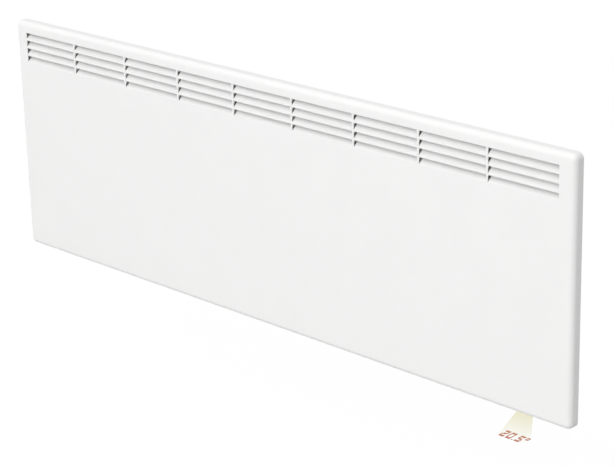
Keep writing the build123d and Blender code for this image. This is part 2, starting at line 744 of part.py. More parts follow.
def overheat_cutout():
    """A bimetal disc thermostat on the duct's back wall, with two spade tabs."""
    base = (CASE_BACK_IN, CASE_BACK_IN + CUTOUT_BASE_T)
    cap = (base[1], base[1] + CUTOUT_BODY_T)
    with BuildPart() as cutout:
        with BuildSketch(Plane.XZ.offset(base[0])):
            with Locations((CUTOUT_X, CUTOUT_Z)):
                SlotOverall(CUTOUT_BASE_L, CUTOUT_BASE_W)
        extrude(amount=CUTOUT_BASE_T)
        rod_back(CUTOUT_X, CUTOUT_Z, cap, CUTOUT_R)
        for z in TAB_RISES:
            block(around(CUTOUT_X, TAB_W), (cap[1], TAB_TIP), around(z, TAB_T))
    return cutout.part


def sensor_clip():
    """A plastic post in the intake air that carries the room sensor."""
    x = CUTOUT_X
    depth = middle((RIM_BACK, WALL_GAP))
    foot = CASE_BOTTOM + CASE_SHEET
    with BuildPart() as clip:
        block(around(x, CLIP_BASE_L), around(depth, CLIP_BASE_D), (foot, foot + CLIP_BASE_T))
        block(around(x, CLIP_POST_T), around(depth, CLIP_POST_D), (foot, foot + CLIP_H))
        eye = foot + CLIP_H - SENSOR_R
        rod_side(around(x, 2 * CLIP_POST_T), depth, eye, SENSOR_R + PIN_FIT, Mode.SUBTRACT)
    return clip.part


def room_sensor():
    """A small glass-bead sensor on its two-core lead, which runs to the control housing."""
    depth = middle((RIM_BACK, WALL_GAP))
    z = CASE_BOTTOM + CASE_SHEET + CLIP_H - SENSOR_R
    with BuildPart() as sensor:
        with BuildSketch(Plane.YZ.offset(CUTOUT_X - SENSOR_L / 2)):
            with Locations((-depth, z)):
                Circle(SENSOR_R)
        extrude(amount=SENSOR_L)
        fillet(sensor.faces().sort_by(Axis.X)[0].edges(), SENSOR_TIP_R)
        rod_side((CUTOUT_X + SENSOR_L / 2, HX0), depth, z, SENSOR_R / 2)
    return sensor.part


def earth_screw():
    """The screw that earths the casing, with its ring of washers."""
    near = CASE_BACK_IN
    with BuildPart() as screw:
        rod_back(CUTOUT_X, EARTH_Z, (near, near + EARTH_WASHER_T), EARTH_WASHER_R)
        rod_back(CUTOUT_X, EARTH_Z, (near + EARTH_WASHER_T, near + EARTH_WASHER_T + EARTH_STUD_L), SCREW_R)
    return screw.part


# ---------------------------------------------------------------- control housing

def lid_posts():
    """The four corner posts of the housing, as (x, z) of their middles."""
    xs = (H_IN_LEFT + POST / 2, H_IN_RIGHT - POST / 2)
    zs = (H_IN_FLOOR + POST / 2, H_IN_ROOF - POST / 2)
    return [(x, z) for x in xs for z in zs]


def board_posts():
    """The four pillars under the power board, as (x, z)."""
    xs = (POWER_BOARD_X[0] + BOARD_EDGE, POWER_BOARD_X[1] - BOARD_EDGE)
    zs = (POWER_BOARD_Z[0] + BOARD_EDGE, POWER_BOARD_Z[1] - BOARD_EDGE)
    return [(x, z) for x in xs for z in zs]


def control_housing():
    """A moulded box filling the casing's notch: open at the back, windowed below, switched at the side."""
    tall = (BUTTON_RISES[0] - TACT_SIZE / 2, BUTTON_RISES[-1] + TACT_SIZE / 2)
    through_floor = (HZ0 - PAST, H_IN_FLOOR + PAST)
    through_side = (H_IN_RIGHT - PAST, HX1 + PAST)
    with BuildPart() as housing:
        with BuildSketch(Plane.XZ.offset(H_FRONT)):
            with Locations((middle((HX0, HX1)), middle((HZ0, HZ1)))):
                Rectangle(HX1 - HX0, HZ1 - HZ0)
        extrude(amount=H_BACK - H_FRONT)
        corner = housing.edges().filter_by(Axis.Y).group_by(Axis.X)[-1].sort_by(Axis.Z)[0]
        fillet(corner, CASE_CORNER_R)
        outer_edges = housing.edges().filter_by(lambda e: e.center().Y > -H_BACK - 0.1)
        fillet(outer_edges.filter_by(lambda e: e.center().X > HX1 - HOUSING_W / 8), HOUSING_EDGE_R)
        block((H_IN_LEFT, H_IN_RIGHT), (H_BACK - PAST, H_IN_FRONT), (H_IN_FLOOR, H_IN_ROOF), Mode.SUBTRACT)
        for x, z in lid_posts():
            block(around(x, POST), (LID_IN, H_IN_FRONT), around(z, POST))
            rod_back(x, z, (LID_IN - PAST, LID_IN + LID_SCREW_L), LID_SCREW_R + PIN_FIT, Mode.SUBTRACT)
        for x, z in board_posts():
            rod_back(x, z, (POWER_BOARD_FAR, H_IN_FRONT), BOARD_POST_R)
            rod_back(x, z, (POWER_BOARD_FAR - PAST, H_IN_FRONT), LID_SCREW_R + PIN_FIT, Mode.SUBTRACT)
        for x in (BUTTON_BOARD_X - RIB_T - PIN_FIT, BUTTON_BOARD_X + BOARD_T + PIN_FIT):
            block((x, x + RIB_T), (H_IN_FRONT - RIB_H, H_IN_FRONT), tall)
        block(
            around(WINDOW_X, WINDOW_W + 2 * PIN_FIT), around(WINDOW_DEPTH, WINDOW_D + 2 * PIN_FIT),
            through_floor, Mode.SUBTRACT,
        )
        rod_up(GLAND_X, GLAND_DEPTH, through_floor, GLAND_R + SCREW_FIT, Mode.SUBTRACT)
        for z in BUTTON_RISES:
            rod_side(through_side, BUTTON_DEPTH, z, BUTTON_R + FIT, Mode.SUBTRACT)
        block(through_side, around(BUTTON_DEPTH, SWITCH_CUT_Y), around(ROCKER_Z, SWITCH_CUT_Z), Mode.SUBTRACT)
        for z in LEAD_ROWS:
            rod_side((HX0 - PAST, H_IN_LEFT + PAST), LEAD_DEPTH, z, LEAD_R + SCREW_FIT, Mode.SUBTRACT)
    return housing.part


def control_lid():
    """The service cover that closes the housing from behind."""
    through = (H_BACK - PAST, LID_IN + PAST)
    with BuildPart() as lid:
        block(
            (H_IN_LEFT + SCREW_FIT, H_IN_RIGHT - SCREW_FIT), (H_BACK, LID_IN),
            (H_IN_FLOOR + SCREW_FIT, H_IN_ROOF - SCREW_FIT),
        )
        for x, z in lid_posts():
            rod_back(x, z, through, LID_SCREW_R + SCREW_FIT, Mode.SUBTRACT)
            rod_back(x, z, (H_BACK - PAST, LID_SCREW_SEAT), LID_SCREW_HEAD_R + SCREW_FIT, Mode.SUBTRACT)
        for n in range(LID_VENTS):
            x = middle((HX0, HX1)) + (n - (LID_VENTS - 1) / 2) * LID_VENT_PITCH
            block(around(x, LID_VENT_W), through, around(middle((HZ0, HZ1)), LID_VENT_L), Mode.SUBTRACT)
    return lid.part


def post_screws(points, seat, deeper):
    """Small pan-head screws at given places, driven from a seat towards the front of the heater."""
    with BuildPart() as screws:
        for x, z in points:
            rod_back(x, z, (seat - LID_SCREW_HEAD_H, seat), LID_SCREW_HEAD_R)
            rod_back(x, z, (seat, seat + deeper), LID_SCREW_R)
    return screws.part


def power_board():
    """The mains circuit board, on four pillars."""
    through = (POWER_BOARD_NEAR - PAST, POWER_BOARD_FAR + PAST)
    with BuildPart() as board:
        block(POWER_BOARD_X, (POWER_BOARD_NEAR, POWER_BOARD_FAR), POWER_BOARD_Z)
        for x, z in board_posts():
            rod_back(x, z, through, LID_SCREW_R + SCREW_FIT, Mode.SUBTRACT)
    return board.part


def board_block(left, width, height, stands, edge):
    """A moulded component standing on the back of the power board."""
    low = POWER_BOARD_Z[0] + COMPONENT_RISE
    with BuildPart() as component:
        block((left, left + width), (POWER_BOARD_NEAR - stands, POWER_BOARD_NEAR), (low, low + height))
        chamfer(component.faces().sort_by(Axis.Y)[-1].edges(), edge)
    return component.part


def transformer():
    """The taped transformer of the low-voltage supply."""
    left = POWER_BOARD_X[0] + COMPONENT_INSET
    return board_block(left, TRANSFORMER_W, TRANSFORMER_H, TRANSFORMER_D, TRANSFORMER_EDGE)


def relay():
    """The relay that switches the element."""
    left = POWER_BOARD_X[1] - COMPONENT_INSET - RELAY_W
    return board_block(left, RELAY_W, RELAY_H, RELAY_D, RELAY_EDGE)


def capacitor():
    """A smoothing capacitor standing on the board."""
    x = POWER_BOARD_X[1] - BOARD_EDGE - LID_SCREW_HEAD_R - CAP_GAP - CAP_R
    z = POWER_BOARD_Z[1] - CAP_GAP - CAP_R
    with BuildPart() as can:
        rod_back(x, z, (POWER_BOARD_NEAR - CAP_L, POWER_BOARD_NEAR), CAP_R)
        fillet(can.faces().sort_by(Axis.Y)[-1].edges(), CAP_EDGE_R)
    return can.part


def terminal_block():
    """Three screw terminals with their lead entries facing the duct."""
    deep = (POWER_BOARD_NEAR - TERMINAL_D, POWER_BOARD_NEAR)
    with BuildPart() as terminal:
        block(TERMINAL_X, deep, around(TERMINAL_Z, TERMINAL_H))
        for z in LEAD_ROWS:
            rod_back(middle(TERMINAL_X), z, (deep[0] - PAST, deep[0] + TERMINAL_WELL), LEAD_R, Mode.SUBTRACT)
    return terminal.part


def button_board():
    """A narrow upright board behind the side buttons, edge-held in two ribs."""
    with BuildPart() as board:
        block(
            (BUTTON_BOARD_X, BUTTON_BOARD_X + BOARD_T), (BUTTON_DEPTH - TACT_SIZE, H_IN_FRONT),
            (BUTTON_RISES[0] - BUTTON_BOARD_END, BUTTON_RISES[-1] + BUTTON_BOARD_END),
        )
    return board.part


def tact_switches():
    """Three tactile switches on the button board."""
    face = BUTTON_BOARD_X + BOARD_T
    with BuildPart() as switches:
        for z in BUTTON_RISES:
            block((face, face + TACT_BODY_T), around(BUTTON_DEPTH, TACT_SIZE), around(z, TACT_SIZE))
            rod_side((face + TACT_BODY_T, TACT_TOP), BUTTON_DEPTH, z, TACT_CAP_R)
    return switches.part


def push_button(z):
    """A domed cap, the flange that keeps it in the wall, and the stem over its switch."""
    with BuildPart() as button:
        rod_side((BUTTON_INNER, HX1 + BUTTON_PROUD), BUTTON_DEPTH, z, BUTTON_R)
        fillet(button.faces().sort_by(Axis.X)[-1].edges(), BUTTON_EDGE_R)
        rod_side((BUTTON_INNER, BUTTON_INNER + BUTTON_FLANGE_T), BUTTON_DEPTH, z, BUTTON_FLANGE_R)
        rod_side((STEM_TIP, BUTTON_INNER), BUTTON_DEPTH, z, BUTTON_STEM_R)
    return button.part


# ---------------------------------------------------------------- numeral projector

def projector_shroud():
    """A dark hood over the window that carries lens, mask and lamp, open below."""
    both = 2 * SHROUD_WALL
    top = H_IN_FLOOR + SHROUD_H
    with BuildPart() as shroud:
        block(around(WINDOW_X, WINDOW_W + both), around(WINDOW_DEPTH, WINDOW_D + both), (H_IN_FLOOR, top))
        block(
            around(WINDOW_X, WINDOW_W), around(WINDOW_DEPTH, WINDOW_D),
            (H_IN_FLOOR - PAST, top - SHROUD_WALL), Mode.SUBTRACT,
        )
    return shroud.part


def projector_plate(low, thick, hole_r):
    """A plate across the shroud with a round hole, if it has one."""
    with BuildPart() as plate:
        block(around(WINDOW_X, WINDOW_W), around(WINDOW_DEPTH, WINDOW_D), (low, low + thick))
        if hole_r:
            rod_up(WINDOW_X, WINDOW_DEPTH, (low - PAST, low + thick + PAST), hole_r, Mode.SUBTRACT)
    return plate.part


def projector_window():
    """The clear rectangular window in the underside, stepped into its cut-out."""
    with BuildPart() as window:
        block(around(WINDOW_X, WINDOW_W), around(WINDOW_DEPTH, WINDOW_D), (HZ0, HZ0 + WINDOW_T))
        chamfer(window.faces().sort_by(Axis.Z)[0].edges(), WINDOW_T / 5)
    return window.part


def projector_lens():
    """A plano-convex lens resting on its holder plate."""
    low = H_IN_FLOOR + LENS_RISE + MASK_T
    sphere_r = (LENS_R ** 2 + LENS_CROWN ** 2) / (2 * LENS_CROWN)
    shoulder = (WINDOW_X + LENS_R, low + LENS_CROWN / 2)
    crown = (WINDOW_X, low + 1.5 * LENS_CROWN)
    with BuildPart() as lens:
        with BuildSketch(Plane.XZ.offset(WINDOW_DEPTH)):
            with BuildLine():
                Line((WINDOW_X, low), (WINDOW_X + LENS_R, low))
                Line((WINDOW_X + LENS_R, low), shoulder)
                RadiusArc(shoulder, crown, -sphere_r)
                Line(crown, (WINDOW_X, low))
            make_face()
        revolve(axis=Axis((WINDOW_X, -WINDOW_DEPTH, 0), (0, 0, 1)))
    return lens.part


def projector_lamp():
    """A light-emitting diode under the roof of the shroud."""
    roof = H_IN_FLOOR + SHROUD_H - SHROUD_WALL
    base = roof - LAMP_BASE_H
    with BuildPart() as lamp:
        rod_up(WINDOW_X, WINDOW_DEPTH, (base, roof), LAMP_BASE_R)
        rod_up(WINDOW_X, WINDOW_DEPTH, (base - LAMP_H, base), LAMP_R)
        fillet(lamp.faces().sort_by(Axis.Z)[0].edges(), LAMP_TIP_R)
    return lamp.part


# ---------------------------------------------------------------- cord inlet and mains switch

def cable_gland():
    """The cord inlet: flange and clamping dome below the floor, threaded stub above it."""
    flange = HZ0 - GLAND_FLANGE_T
    nose = flange - GLAND_DOME_L
    tip = HZ0 + GLAND_THREAD_L
    with BuildPart() as gland:
        rod_up(GLAND_X, GLAND_DEPTH, (flange, HZ0), GLAND_FLANGE_R)
        rod_up(GLAND_X, GLAND_DEPTH, (nose, flange), GLAND_DOME_R)
        fillet(gland.faces().sort_by(Axis.Z)[0].edges(), GLAND_NOSE_R)
        rod_up(GLAND_X, GLAND_DEPTH, (HZ0, tip), GLAND_R)
        rod_up(GLAND_X, GLAND_DEPTH, (nose - PAST, tip + PAST), GLAND_BORE_R, Mode.SUBTRACT)
    return gland.part


def gland_nut():
    """The hexagonal nut that draws the inlet tight from inside."""
    with BuildPart() as nut:
        with BuildSketch(Plane.XY.offset(H_IN_FLOOR)):
            with Locations((GLAND_X, -GLAND_DEPTH)):
                RegularPolygon(NUT_R, 6)
                Circle(GLAND_R + PIN_FIT, mode=Mode.SUBTRACT)
        extrude(amount=NUT_T)
    return nut.part


def switch_frame():
    """The rocker's frame: a flange on the housing's side and an open body with two pivot holes."""
    half_y = SWITCH_CUT_Y / 2 - SCREW_FIT
    half_z = SWITCH_CUT_Z / 2 - SCREW_FIT
    over = SWITCH_FLANGE_OVER
    inner_y = half_y - SWITCH_WALL
    inner_z = half_z - SWITCH_WALL
    face = HX1 + SWITCH_FLANGE
    well = ROCKER_PIVOT_X - ROCKER_SKIRT - SWITCH_ROOM
    with BuildPart() as frame:
        block((HX1, face), around(BUTTON_DEPTH, 2 * (half_y + over)), around(ROCKER_Z, 2 * (half_z + over)))
        chamfer(frame.faces().sort_by(Axis.X)[-1].edges(), SWITCH_FLANGE / 3)
        block((HX1 - SWITCH_BODY_L, HX1), around(BUTTON_DEPTH, 2 * half_y), around(ROCKER_Z, 2 * half_z))
        block(
            (well, face + PAST), around(BUTTON_DEPTH, 2 * inner_y), around(ROCKER_Z, 2 * inner_z),
            Mode.SUBTRACT,
        )
        rod_back(
            ROCKER_PIVOT_X, ROCKER_Z, around(BUTTON_DEPTH, 2 * (half_y + PAST)), ROCKER_PIN_R + PIN_FIT,
            Mode.SUBTRACT,
        )
    return frame.part


def rocker():
    """The switch's rocker, two sloping faces on a round-bellied key, at rest in its on position."""
    half_y = SWITCH_CUT_Y / 2 - SCREW_FIT - SWITCH_WALL - FIT
    rise = ROCKER_HALF * tan(radians(ROCKER_TILT))
    x, z = ROCKER_PIVOT_X, ROCKER_Z
    with BuildPart() as key:
        with BuildSketch(Plane.XZ.offset(BUTTON_DEPTH - half_y)):
            with BuildLine():
                Line((x + ROCKER_CROWN, z), (x + ROCKER_CROWN + rise, z + ROCKER_HALF))
                Line((x + ROCKER_CROWN + rise, z + ROCKER_HALF), (x, z + ROCKER_HALF))
                ThreePointArc((x, z + ROCKER_HALF), (x - ROCKER_SKIRT, z), (x, z - ROCKER_HALF))
                Line((x, z - ROCKER_HALF), (x + ROCKER_CROWN + rise, z - ROCKER_HALF))
                Line((x + ROCKER_CROWN + rise, z - ROCKER_HALF), (x + ROCKER_CROWN, z))
            make_face()
        extrude(amount=2 * half_y)
        rod_back(x, z, around(BUTTON_DEPTH, 2 * (half_y + ROCKER_PIN_L)), ROCKER_PIN_R)
    return key.part.rotate(Axis((x, -BUTTON_DEPTH, z), (0, 1, 0)), ROCKER_TILT)


# ---------------------------------------------------------------- internal leads

def lead(points):
    """A round insulated lead along straight runs joined by the largest arcs that fit."""
    path_points = [Vector(*p) for p in points]
    radii = []
    for before, here, after in zip(path_points, path_points[1:], path_points[2:]):
        turn = (here - before).get_angle(after - here)
        run = min((here - before).length, (after - here).length)
        radii.append(LEAD_ARC_SHARE * run / tan(radians(turn) / 2))
    print("lead radii", [round(r, 1) for r in radii])
    with BuildPart() as wire:
        with BuildLine() as path:
            FilletPolyline(*path_points, radius=radii)
        with BuildSketch(Plane(path_points[0], z_dir=path_points[1] - path_points[0])):
            Circle(LEAD_R)
        sweep(path=path.wires()[0])
    return wire.part


def lead_link():
    """From the upper stud of the element to the cut-out's lower tab."""
    out = STUD_TIP + LEAD_BEND
    high = LEG_RISES[1]
    return lead([
        (STUD_TIP, -ELEMENT_DEPTH, high), (out, -ELEMENT_DEPTH, high),
        (out + LEAD_SIDE, -ELEMENT_DEPTH - LEAD_FORWARD, middle((high, TAB_RISES[0]))),
        (CUTOUT_X, -TAB_TIP - LEAD_BEND, TAB_RISES[0]), (CUTOUT_X, -TAB_TIP, TAB_RISES[0]),
    ])


def lead_live():
    """From the upper terminal to the cut-out's upper tab."""
    return lead([
        (TERMINAL_X[0], -LEAD_DEPTH, LEAD_ROWS[2]), (HX0 - LEAD_BEND, -LEAD_DEPTH, LEAD_ROWS[2]),
        (CUTOUT_X + LEAD_BEND, -TAB_TIP - LEAD_BEND / 2, middle((LEAD_ROWS[2], TAB_RISES[1]))),
        (CUTOUT_X, -TAB_TIP - LEAD_BEND, TAB_RISES[1]), (CUTOUT_X, -TAB_TIP, TAB_RISES[1]),
    ])


def lead_neutral():
    """From the middle terminal to the lower stud of the element."""
    low = LEG_RISES[0]
    return lead([
        (TERMINAL_X[0], -LEAD_DEPTH, LEAD_ROWS[1]), (HX0 - LEAD_BEND, -LEAD_DEPTH, LEAD_ROWS[1]),
        (STUD_TIP + 2 * LEAD_BEND, -ELEMENT_DEPTH, low), (STUD_TIP, -ELEMENT_DEPTH, low),
    ])


def lead_earth():
    """From the lower terminal to the earth screw on the duct's back wall."""
    tip = CASE_BACK_IN + EARTH_WASHER_T + EARTH_STUD_L
    return lead([
        (TERMINAL_X[0], -LEAD_DEPTH, LEAD_ROWS[0]), (HX0 - LEAD_BEND, -LEAD_DEPTH, LEAD_ROWS[0]),
        (CUTOUT_X, -tip - LEAD_BEND, EARTH_Z), (CUTOUT_X, -tip, EARTH_Z),
    ])


# ---------------------------------------------------------------- hangers and strikes on the casing

def hanger(x):
    """A folded saddle on the casing's back whose two ears hold the pivot pin."""
    near = WALL_GAP - HANGER_T
    ear_x = UPRIGHT_W / 2 + EAR_GAP
    with BuildPart() as saddle:
        block(around(x, HANGER_W), (near, WALL_GAP), around(PIVOT_Z, HANGER_H))
        for left in (x - ear_x - HANGER_T, x + ear_x):
            with BuildSketch(Plane.YZ.offset(left)):
                with Locations((-PIVOT_DEPTH, PIVOT_Z)):
                    Circle(EAR_R)
                with Locations((-middle((PIVOT_DEPTH, near)), PIVOT_Z)):
                    Rectangle(near - PIVOT_DEPTH, 2 * EAR_R)
                with Locations((-PIVOT_DEPTH, PIVOT_Z)):
                    Circle(PIN_R + PIN_FIT, mode=Mode.SUBTRACT)
            extrude(amount=HANGER_T)
    return saddle.part


def pivot_pins():
    """The two steel pins that rest in the bracket's hooks."""
    reach = UPRIGHT_W / 2 + EAR_GAP + HANGER_T
    with BuildPart() as pins:
        for x in (-UPRIGHT_X, UPRIGHT_X):
            rod_side((x - reach, x + reach), PIVOT_DEPTH, PIVOT_Z, PIN_R)
            rod_side((x - reach - PIN_HEAD_T, x - reach), PIVOT_DEPTH, PIVOT_Z, PIN_HEAD_R)
            rod_side((x + reach, x + reach + PIN_HEAD_T), PIVOT_DEPTH, PIVOT_Z, PIN_HEAD_R)
    return pins.part


def strike(x):
    """A folded strike on the casing's back whose hanging lip the catch holds."""
    shelf = STRIKE_LIP_Z + STRIKE_LIP_H
    near = WALL_GAP - HANGER_T
    wide = around(x, STRIKE_W)
    with BuildPart() as plate:
        block(wide, (near, WALL_GAP), (shelf - STRIKE_FOOT_H, shelf + HANGER_T))
        block(wide, (LIP_NEAR, WALL_GAP), (shelf, shelf + HANGER_T))
        block(wide, (LIP_NEAR, LIP_FAR), (STRIKE_LIP_Z, shelf + HANGER_T))
        outer_bends = plate.edges().filter_by(Axis.X).filter_by(
            lambda e: e.center().Z > shelf + HANGER_T / 2 and e.center().Y > -LIP_NEAR - HANGER_T / 2
        )
        fillet(outer_bends, STRIKE_BEND_R)
    return plate.part


def strike_pads():
    """Rubber pads on the strikes' lips, which meet the edges of the bracket's legs."""
    low = STRIKE_LIP_Z + PAD_RISE
    reach = UPRIGHT_W / 2 - BRACKET_SHEET / 2
    with BuildPart() as pads:
        for upright in (-UPRIGHT_X, UPRIGHT_X):
            for x in (upright - reach, upright + reach):
                block(around(x, PAD_SIZE), (STRIKE_REAR, LIP_NEAR), (low, low + PAD_SIZE))
    return pads.part


# ---------------------------------------------------------------- wall bracket

def upright(x):
    """A folded channel: wall plate with screw holes, two legs with pin hooks, guide and spring seat above."""
    foot = PIVOT_Z - UPRIGHT_FOOT
    wide = around(x, UPRIGHT_W)
    hook_r = PIN_R + PIN_CRADLE_FIT
    outer_r = hook_r + HOOK_WALL
    inner = -PIVOT_DEPTH + hook_r
    horn = PIVOT_Z + HORN_H
    mouth = horn + MOUTH_H
    with BuildPart() as channel:
        block(wide, (0, BRACKET_SHEET), (foot, UPRIGHT_TOP))
        for left in (wide[0], wide[1] - BRACKET_SHEET):
            with BuildSketch(Plane.YZ.offset(left)):
                with BuildLine():
                    Polyline((0, foot), (0, UPRIGHT_TOP), (-UPRIGHT_LEG_D, UPRIGHT_TOP),
                             (-UPRIGHT_LEG_D, mouth + LEAD_IN_H), (inner, mouth), (inner, PIVOT_Z))
                    ThreePointArc((inner, PIVOT_Z), (-PIVOT_DEPTH, PIVOT_Z - hook_r),
                                  (-PIVOT_DEPTH - hook_r, PIVOT_Z))
                    Polyline((-PIVOT_DEPTH - hook_r, PIVOT_Z), (-PIVOT_DEPTH - hook_r, horn),
                             (-PIVOT_DEPTH - outer_r, horn), (-PIVOT_DEPTH - outer_r, PIVOT_Z))
                    ThreePointArc((-PIVOT_DEPTH - outer_r, PIVOT_Z),
                                  (-PIVOT_DEPTH - outer_r * sin(pi / 4), PIVOT_Z - outer_r * cos(pi / 4)),
                                  (-PIVOT_DEPTH, PIVOT_Z - outer_r))
                    Line((-PIVOT_DEPTH, PIVOT_Z - outer_r), (0, foot))
                make_face()
            extrude(amount=BRACKET_SHEET)
        block(wide, (UPRIGHT_LEG_D - BRIDGE_T, UPRIGHT_LEG_D), (BRIDGE_Z, BRIDGE_Z + BRIDGE_H))
        block(
            around(x, SEAT_W), (BRACKET_SHEET / 2, CATCH_FAR + SEAT_LIP),
            (SPRING_FOOT_Z - SEAT_T, SPRING_FOOT_Z),
        )
        for z in (-SCREW_SPACING_Z / 2, SCREW_SPACING_Z / 2):
            rod_back(x, z, (-PAST, BRACKET_SHEET + PAST), WALL_HOLE_R, Mode.SUBTRACT)
        for z in (-RAIL_Z, RAIL_Z):
            rod_side((x - UPRIGHT_W, x + UPRIGHT_W), RIVET_DEPTH, z, RIVET_R + SCREW_FIT, Mode.SUBTRACT)
    return channel.part


def rail(z):
    """A cross rail with a turned-up tab at each end, riveted between the uprights."""
    end = UPRIGHT_X - UPRIGHT_W / 2
    tall = around(z, RAIL_H)
    with BuildPart() as bar:
        block((-end, end), (0, BRACKET_SHEET), tall)
        for left in (-end, end - BRACKET_SHEET):
            block((left, left + BRACKET_SHEET), (0, RAIL_TAB_D), tall)
        rod_side((-end - PAST, end + PAST), RIVET_DEPTH, z, RIVET_R + SCREW_FIT, Mode.SUBTRACT)
    return bar.part


def rail_rivets():
    """Rivets through the rails' tabs and the uprights' inner legs."""
    with BuildPart() as rivets:
        for side in (-1, 1):
            joint = side * (UPRIGHT_X - UPRIGHT_W / 2)
            grip = (joint - BRACKET_SHEET, joint + BRACKET_SHEET)
            for z in (-RAIL_Z, RAIL_Z):
                rod_side(grip, RIVET_DEPTH, z, RIVET_R)
                rod_side((grip[0] - RIVET_HEAD_T, grip[0]), RIVET_DEPTH, z, RIVET_HEAD_R)
                rod_side((grip[1], grip[1] + RIVET_HEAD_T), RIVET_DEPTH, z, RIVET_HEAD_R)
    return rivets.part


def catch(x):
    """A sliding catch: thumb ledge above, hooked nose in the middle, shoulder under the guide."""
    near, far = CATCH_NEAR, CATCH_FAR
    nose_top = STRIKE_LIP_Z + CATCH_OVERLAP
    arm = STRIKE_LIP_Z - CATCH_TRAVEL / 2 - ARM_CLEAR - CATCH_ARM_T
    half = UPRIGHT_W / 2 - BRACKET_SHEET - CATCH_SIDE_FIT
    nose_far = NOSE_NEAR + NOSE_T
    with BuildPart() as slider:
        block((x - half, x + half), (near, far), (CATCH_FOOT_Z, CATCH_TOP_Z))
        block((x - half, x + half), (near, UPRIGHT_LEG_D), (CATCH_FOOT_Z, CATCH_FOOT_Z + SHOULDER_H))
        with BuildSketch(Plane.YZ.offset(x - NOSE_W / 2)):
            with BuildLine():
                Polyline((-far, arm), (-nose_far, arm), (-nose_far, nose_top - NOSE_T),
                         (-NOSE_NEAR, nose_top), (-NOSE_NEAR, arm + CATCH_ARM_T),
                         (-far, arm + CATCH_ARM_T), (-far, arm))
            make_face()
        extrude(amount=NOSE_W)
        block((x - half, x + half), (near, THUMB_DEPTH), (CATCH_TOP_Z - THUMB_T, CATCH_TOP_Z))
        thumb = slider.edges().filter_by(Axis.X).filter_by(
            lambda e: e.center().Z > CATCH_TOP_Z - THUMB_T - 0.1 and e.center().Y < -THUMB_DEPTH + 0.1
        )
        fillet(thumb, THUMB_T / 3)
    return slider.part


def catch_spring(x):
    """A compression spring: one unbroken wire, wound in pairs of arcs that meet smoothly.

    Its eight-sided section stands in for round wire and keeps its facets few.
    """
    steps = SPRING_STEPS * SPRING_TURNS
    low = SPRING_FOOT_Z + SPRING_WIRE_R
    pitch = (SPRING_LENGTH - 2 * SPRING_WIRE_R) / SPRING_TURNS

    def at(n):
        angle = n * 2 * pi / SPRING_STEPS
        rise = low + pitch * n / SPRING_STEPS
        return Vector(x + SPRING_R * cos(angle), -SPRING_DEPTH + SPRING_R * sin(angle), rise)

    def heading(n):
        angle = n * 2 * pi / SPRING_STEPS
        return Vector(-SPRING_R * sin(angle), SPRING_R * cos(angle), pitch / (2 * pi)).normalized()

    print("spring least gap to itself", round(pitch - 2 * SPRING_WIRE_R, 2))
    with BuildPart() as coil:
        with BuildLine() as path:
            for n in range(steps):
                start, stop, leave, arrive = at(n), at(n + 1), heading(n), heading(n + 1)
                span = stop - start
                both = leave + arrive
                closing = 2 * (1 - leave.dot(arrive))
                reach = (sqrt(span.dot(both) ** 2 + closing * span.dot(span)) - span.dot(both)) / closing
                joint = (start + leave * reach + stop - arrive * reach) * 0.5
                first = TangentArc(start, joint, tangent=leave)
                TangentArc(joint, stop, tangent=first % 1)
        with BuildSketch(Plane(at(0), z_dir=heading(0))):
            RegularPolygon(SPRING_WIRE_R, WIRE_SIDES)
        sweep(path=path.wires()[0], clean=False)
    return coil.part


if __name__ == "__main__":
    save(front_panel(), "front_panel")
    save(panel_stiffener(), "panel_stiffener")
    save(rear_casing(), "rear_casing")
    save(casing_screws(), "casing_screws")
    save(element_fins(), "element_fins")
    save(element_tube(), "element_tube")
    save(element_terminals(), "element_terminals")
    save(element_bracket(-1), "element_bracket_left")
    save(element_bracket(1), "element_bracket_right")
    save(element_bushes(), "element_bushes")
    save(front_shield(), "front_shield")
    save(heat_reflector(), "heat_reflector")
    save(air_baffle(), "air_baffle")
    save(overheat_cutout(), "overheat_cutout")
    save(sensor_clip(), "sensor_clip")
    save(room_sensor(), "room_sensor")
    save(earth_screw(), "earth_screw")
    save(control_housing(), "control_housing")
    save(control_lid(), "control_lid")
    save(post_screws(lid_posts(), LID_SCREW_SEAT, LID_SCREW_L), "lid_screws")
    save(power_board(), "power_board")
    save(post_screws(board_posts(), POWER_BOARD_NEAR, BOARD_SCREW_L), "board_screws")
    save(transformer(), "transformer")
    save(relay(), "relay")
    save(capacitor(), "capacitor")
    save(terminal_block(), "terminal_block")
    save(button_board(), "button_board")
    save(tact_switches(), "tact_switches")
    for name, z in zip(("button_minus", "button_plus", "button_mode"), BUTTON_RISES):
        save(push_button(z), name)
    save(projector_shroud(), "projector_shroud")
    save(projector_window(), "projector_window")
    save(projector_plate(H_IN_FLOOR + LENS_RISE, MASK_T, LENS_R - LENS_SEAT), "lens_holder")
    save(projector_lens(), "projector_lens")
    save(projector_plate(H_IN_FLOOR + MASK_RISE, MASK_T, 0), "numeral_mask")
    save(projector_lamp(), "projector_lamp")
    save(cable_gland(), "cable_gland")
    save(gland_nut(), "gland_nut")
    save(switch_frame(), "switch_frame")
    save(rocker(), "rocker")
    save(lead_link(), "lead_link")
    save(lead_live(), "lead_live")
    save(lead_neutral(), "lead_neutral")
    save(lead_earth(), "lead_earth")
    save(pivot_pins(), "pivot_pins")
    save(strike_pads(), "strike_pads")
    for name, x in (("left", -UPRIGHT_X), ("right", UPRIGHT_X)):
        save(hanger(x), f"hanger_{name}")
        save(strike(x), f"strike_{name}")
        save(upright(x), f"bracket_upright_{name}")
        save(catch(x), f"catch_{name}")
        save(catch_spring(x), f"catch_spring_{name}")
    save(rail(RAIL_Z), "rail_upper")
    save(rail(-RAIL_Z), "rail_lower")
    save(rail_rivets(), "rail_rivets")
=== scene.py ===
"""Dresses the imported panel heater: finishes for its CAD pieces, small marks, springs, studio and camera."""

import json
from math import cos, pi, radians, sin

import bmesh
import bpy
from mathutils import Matrix, Vector


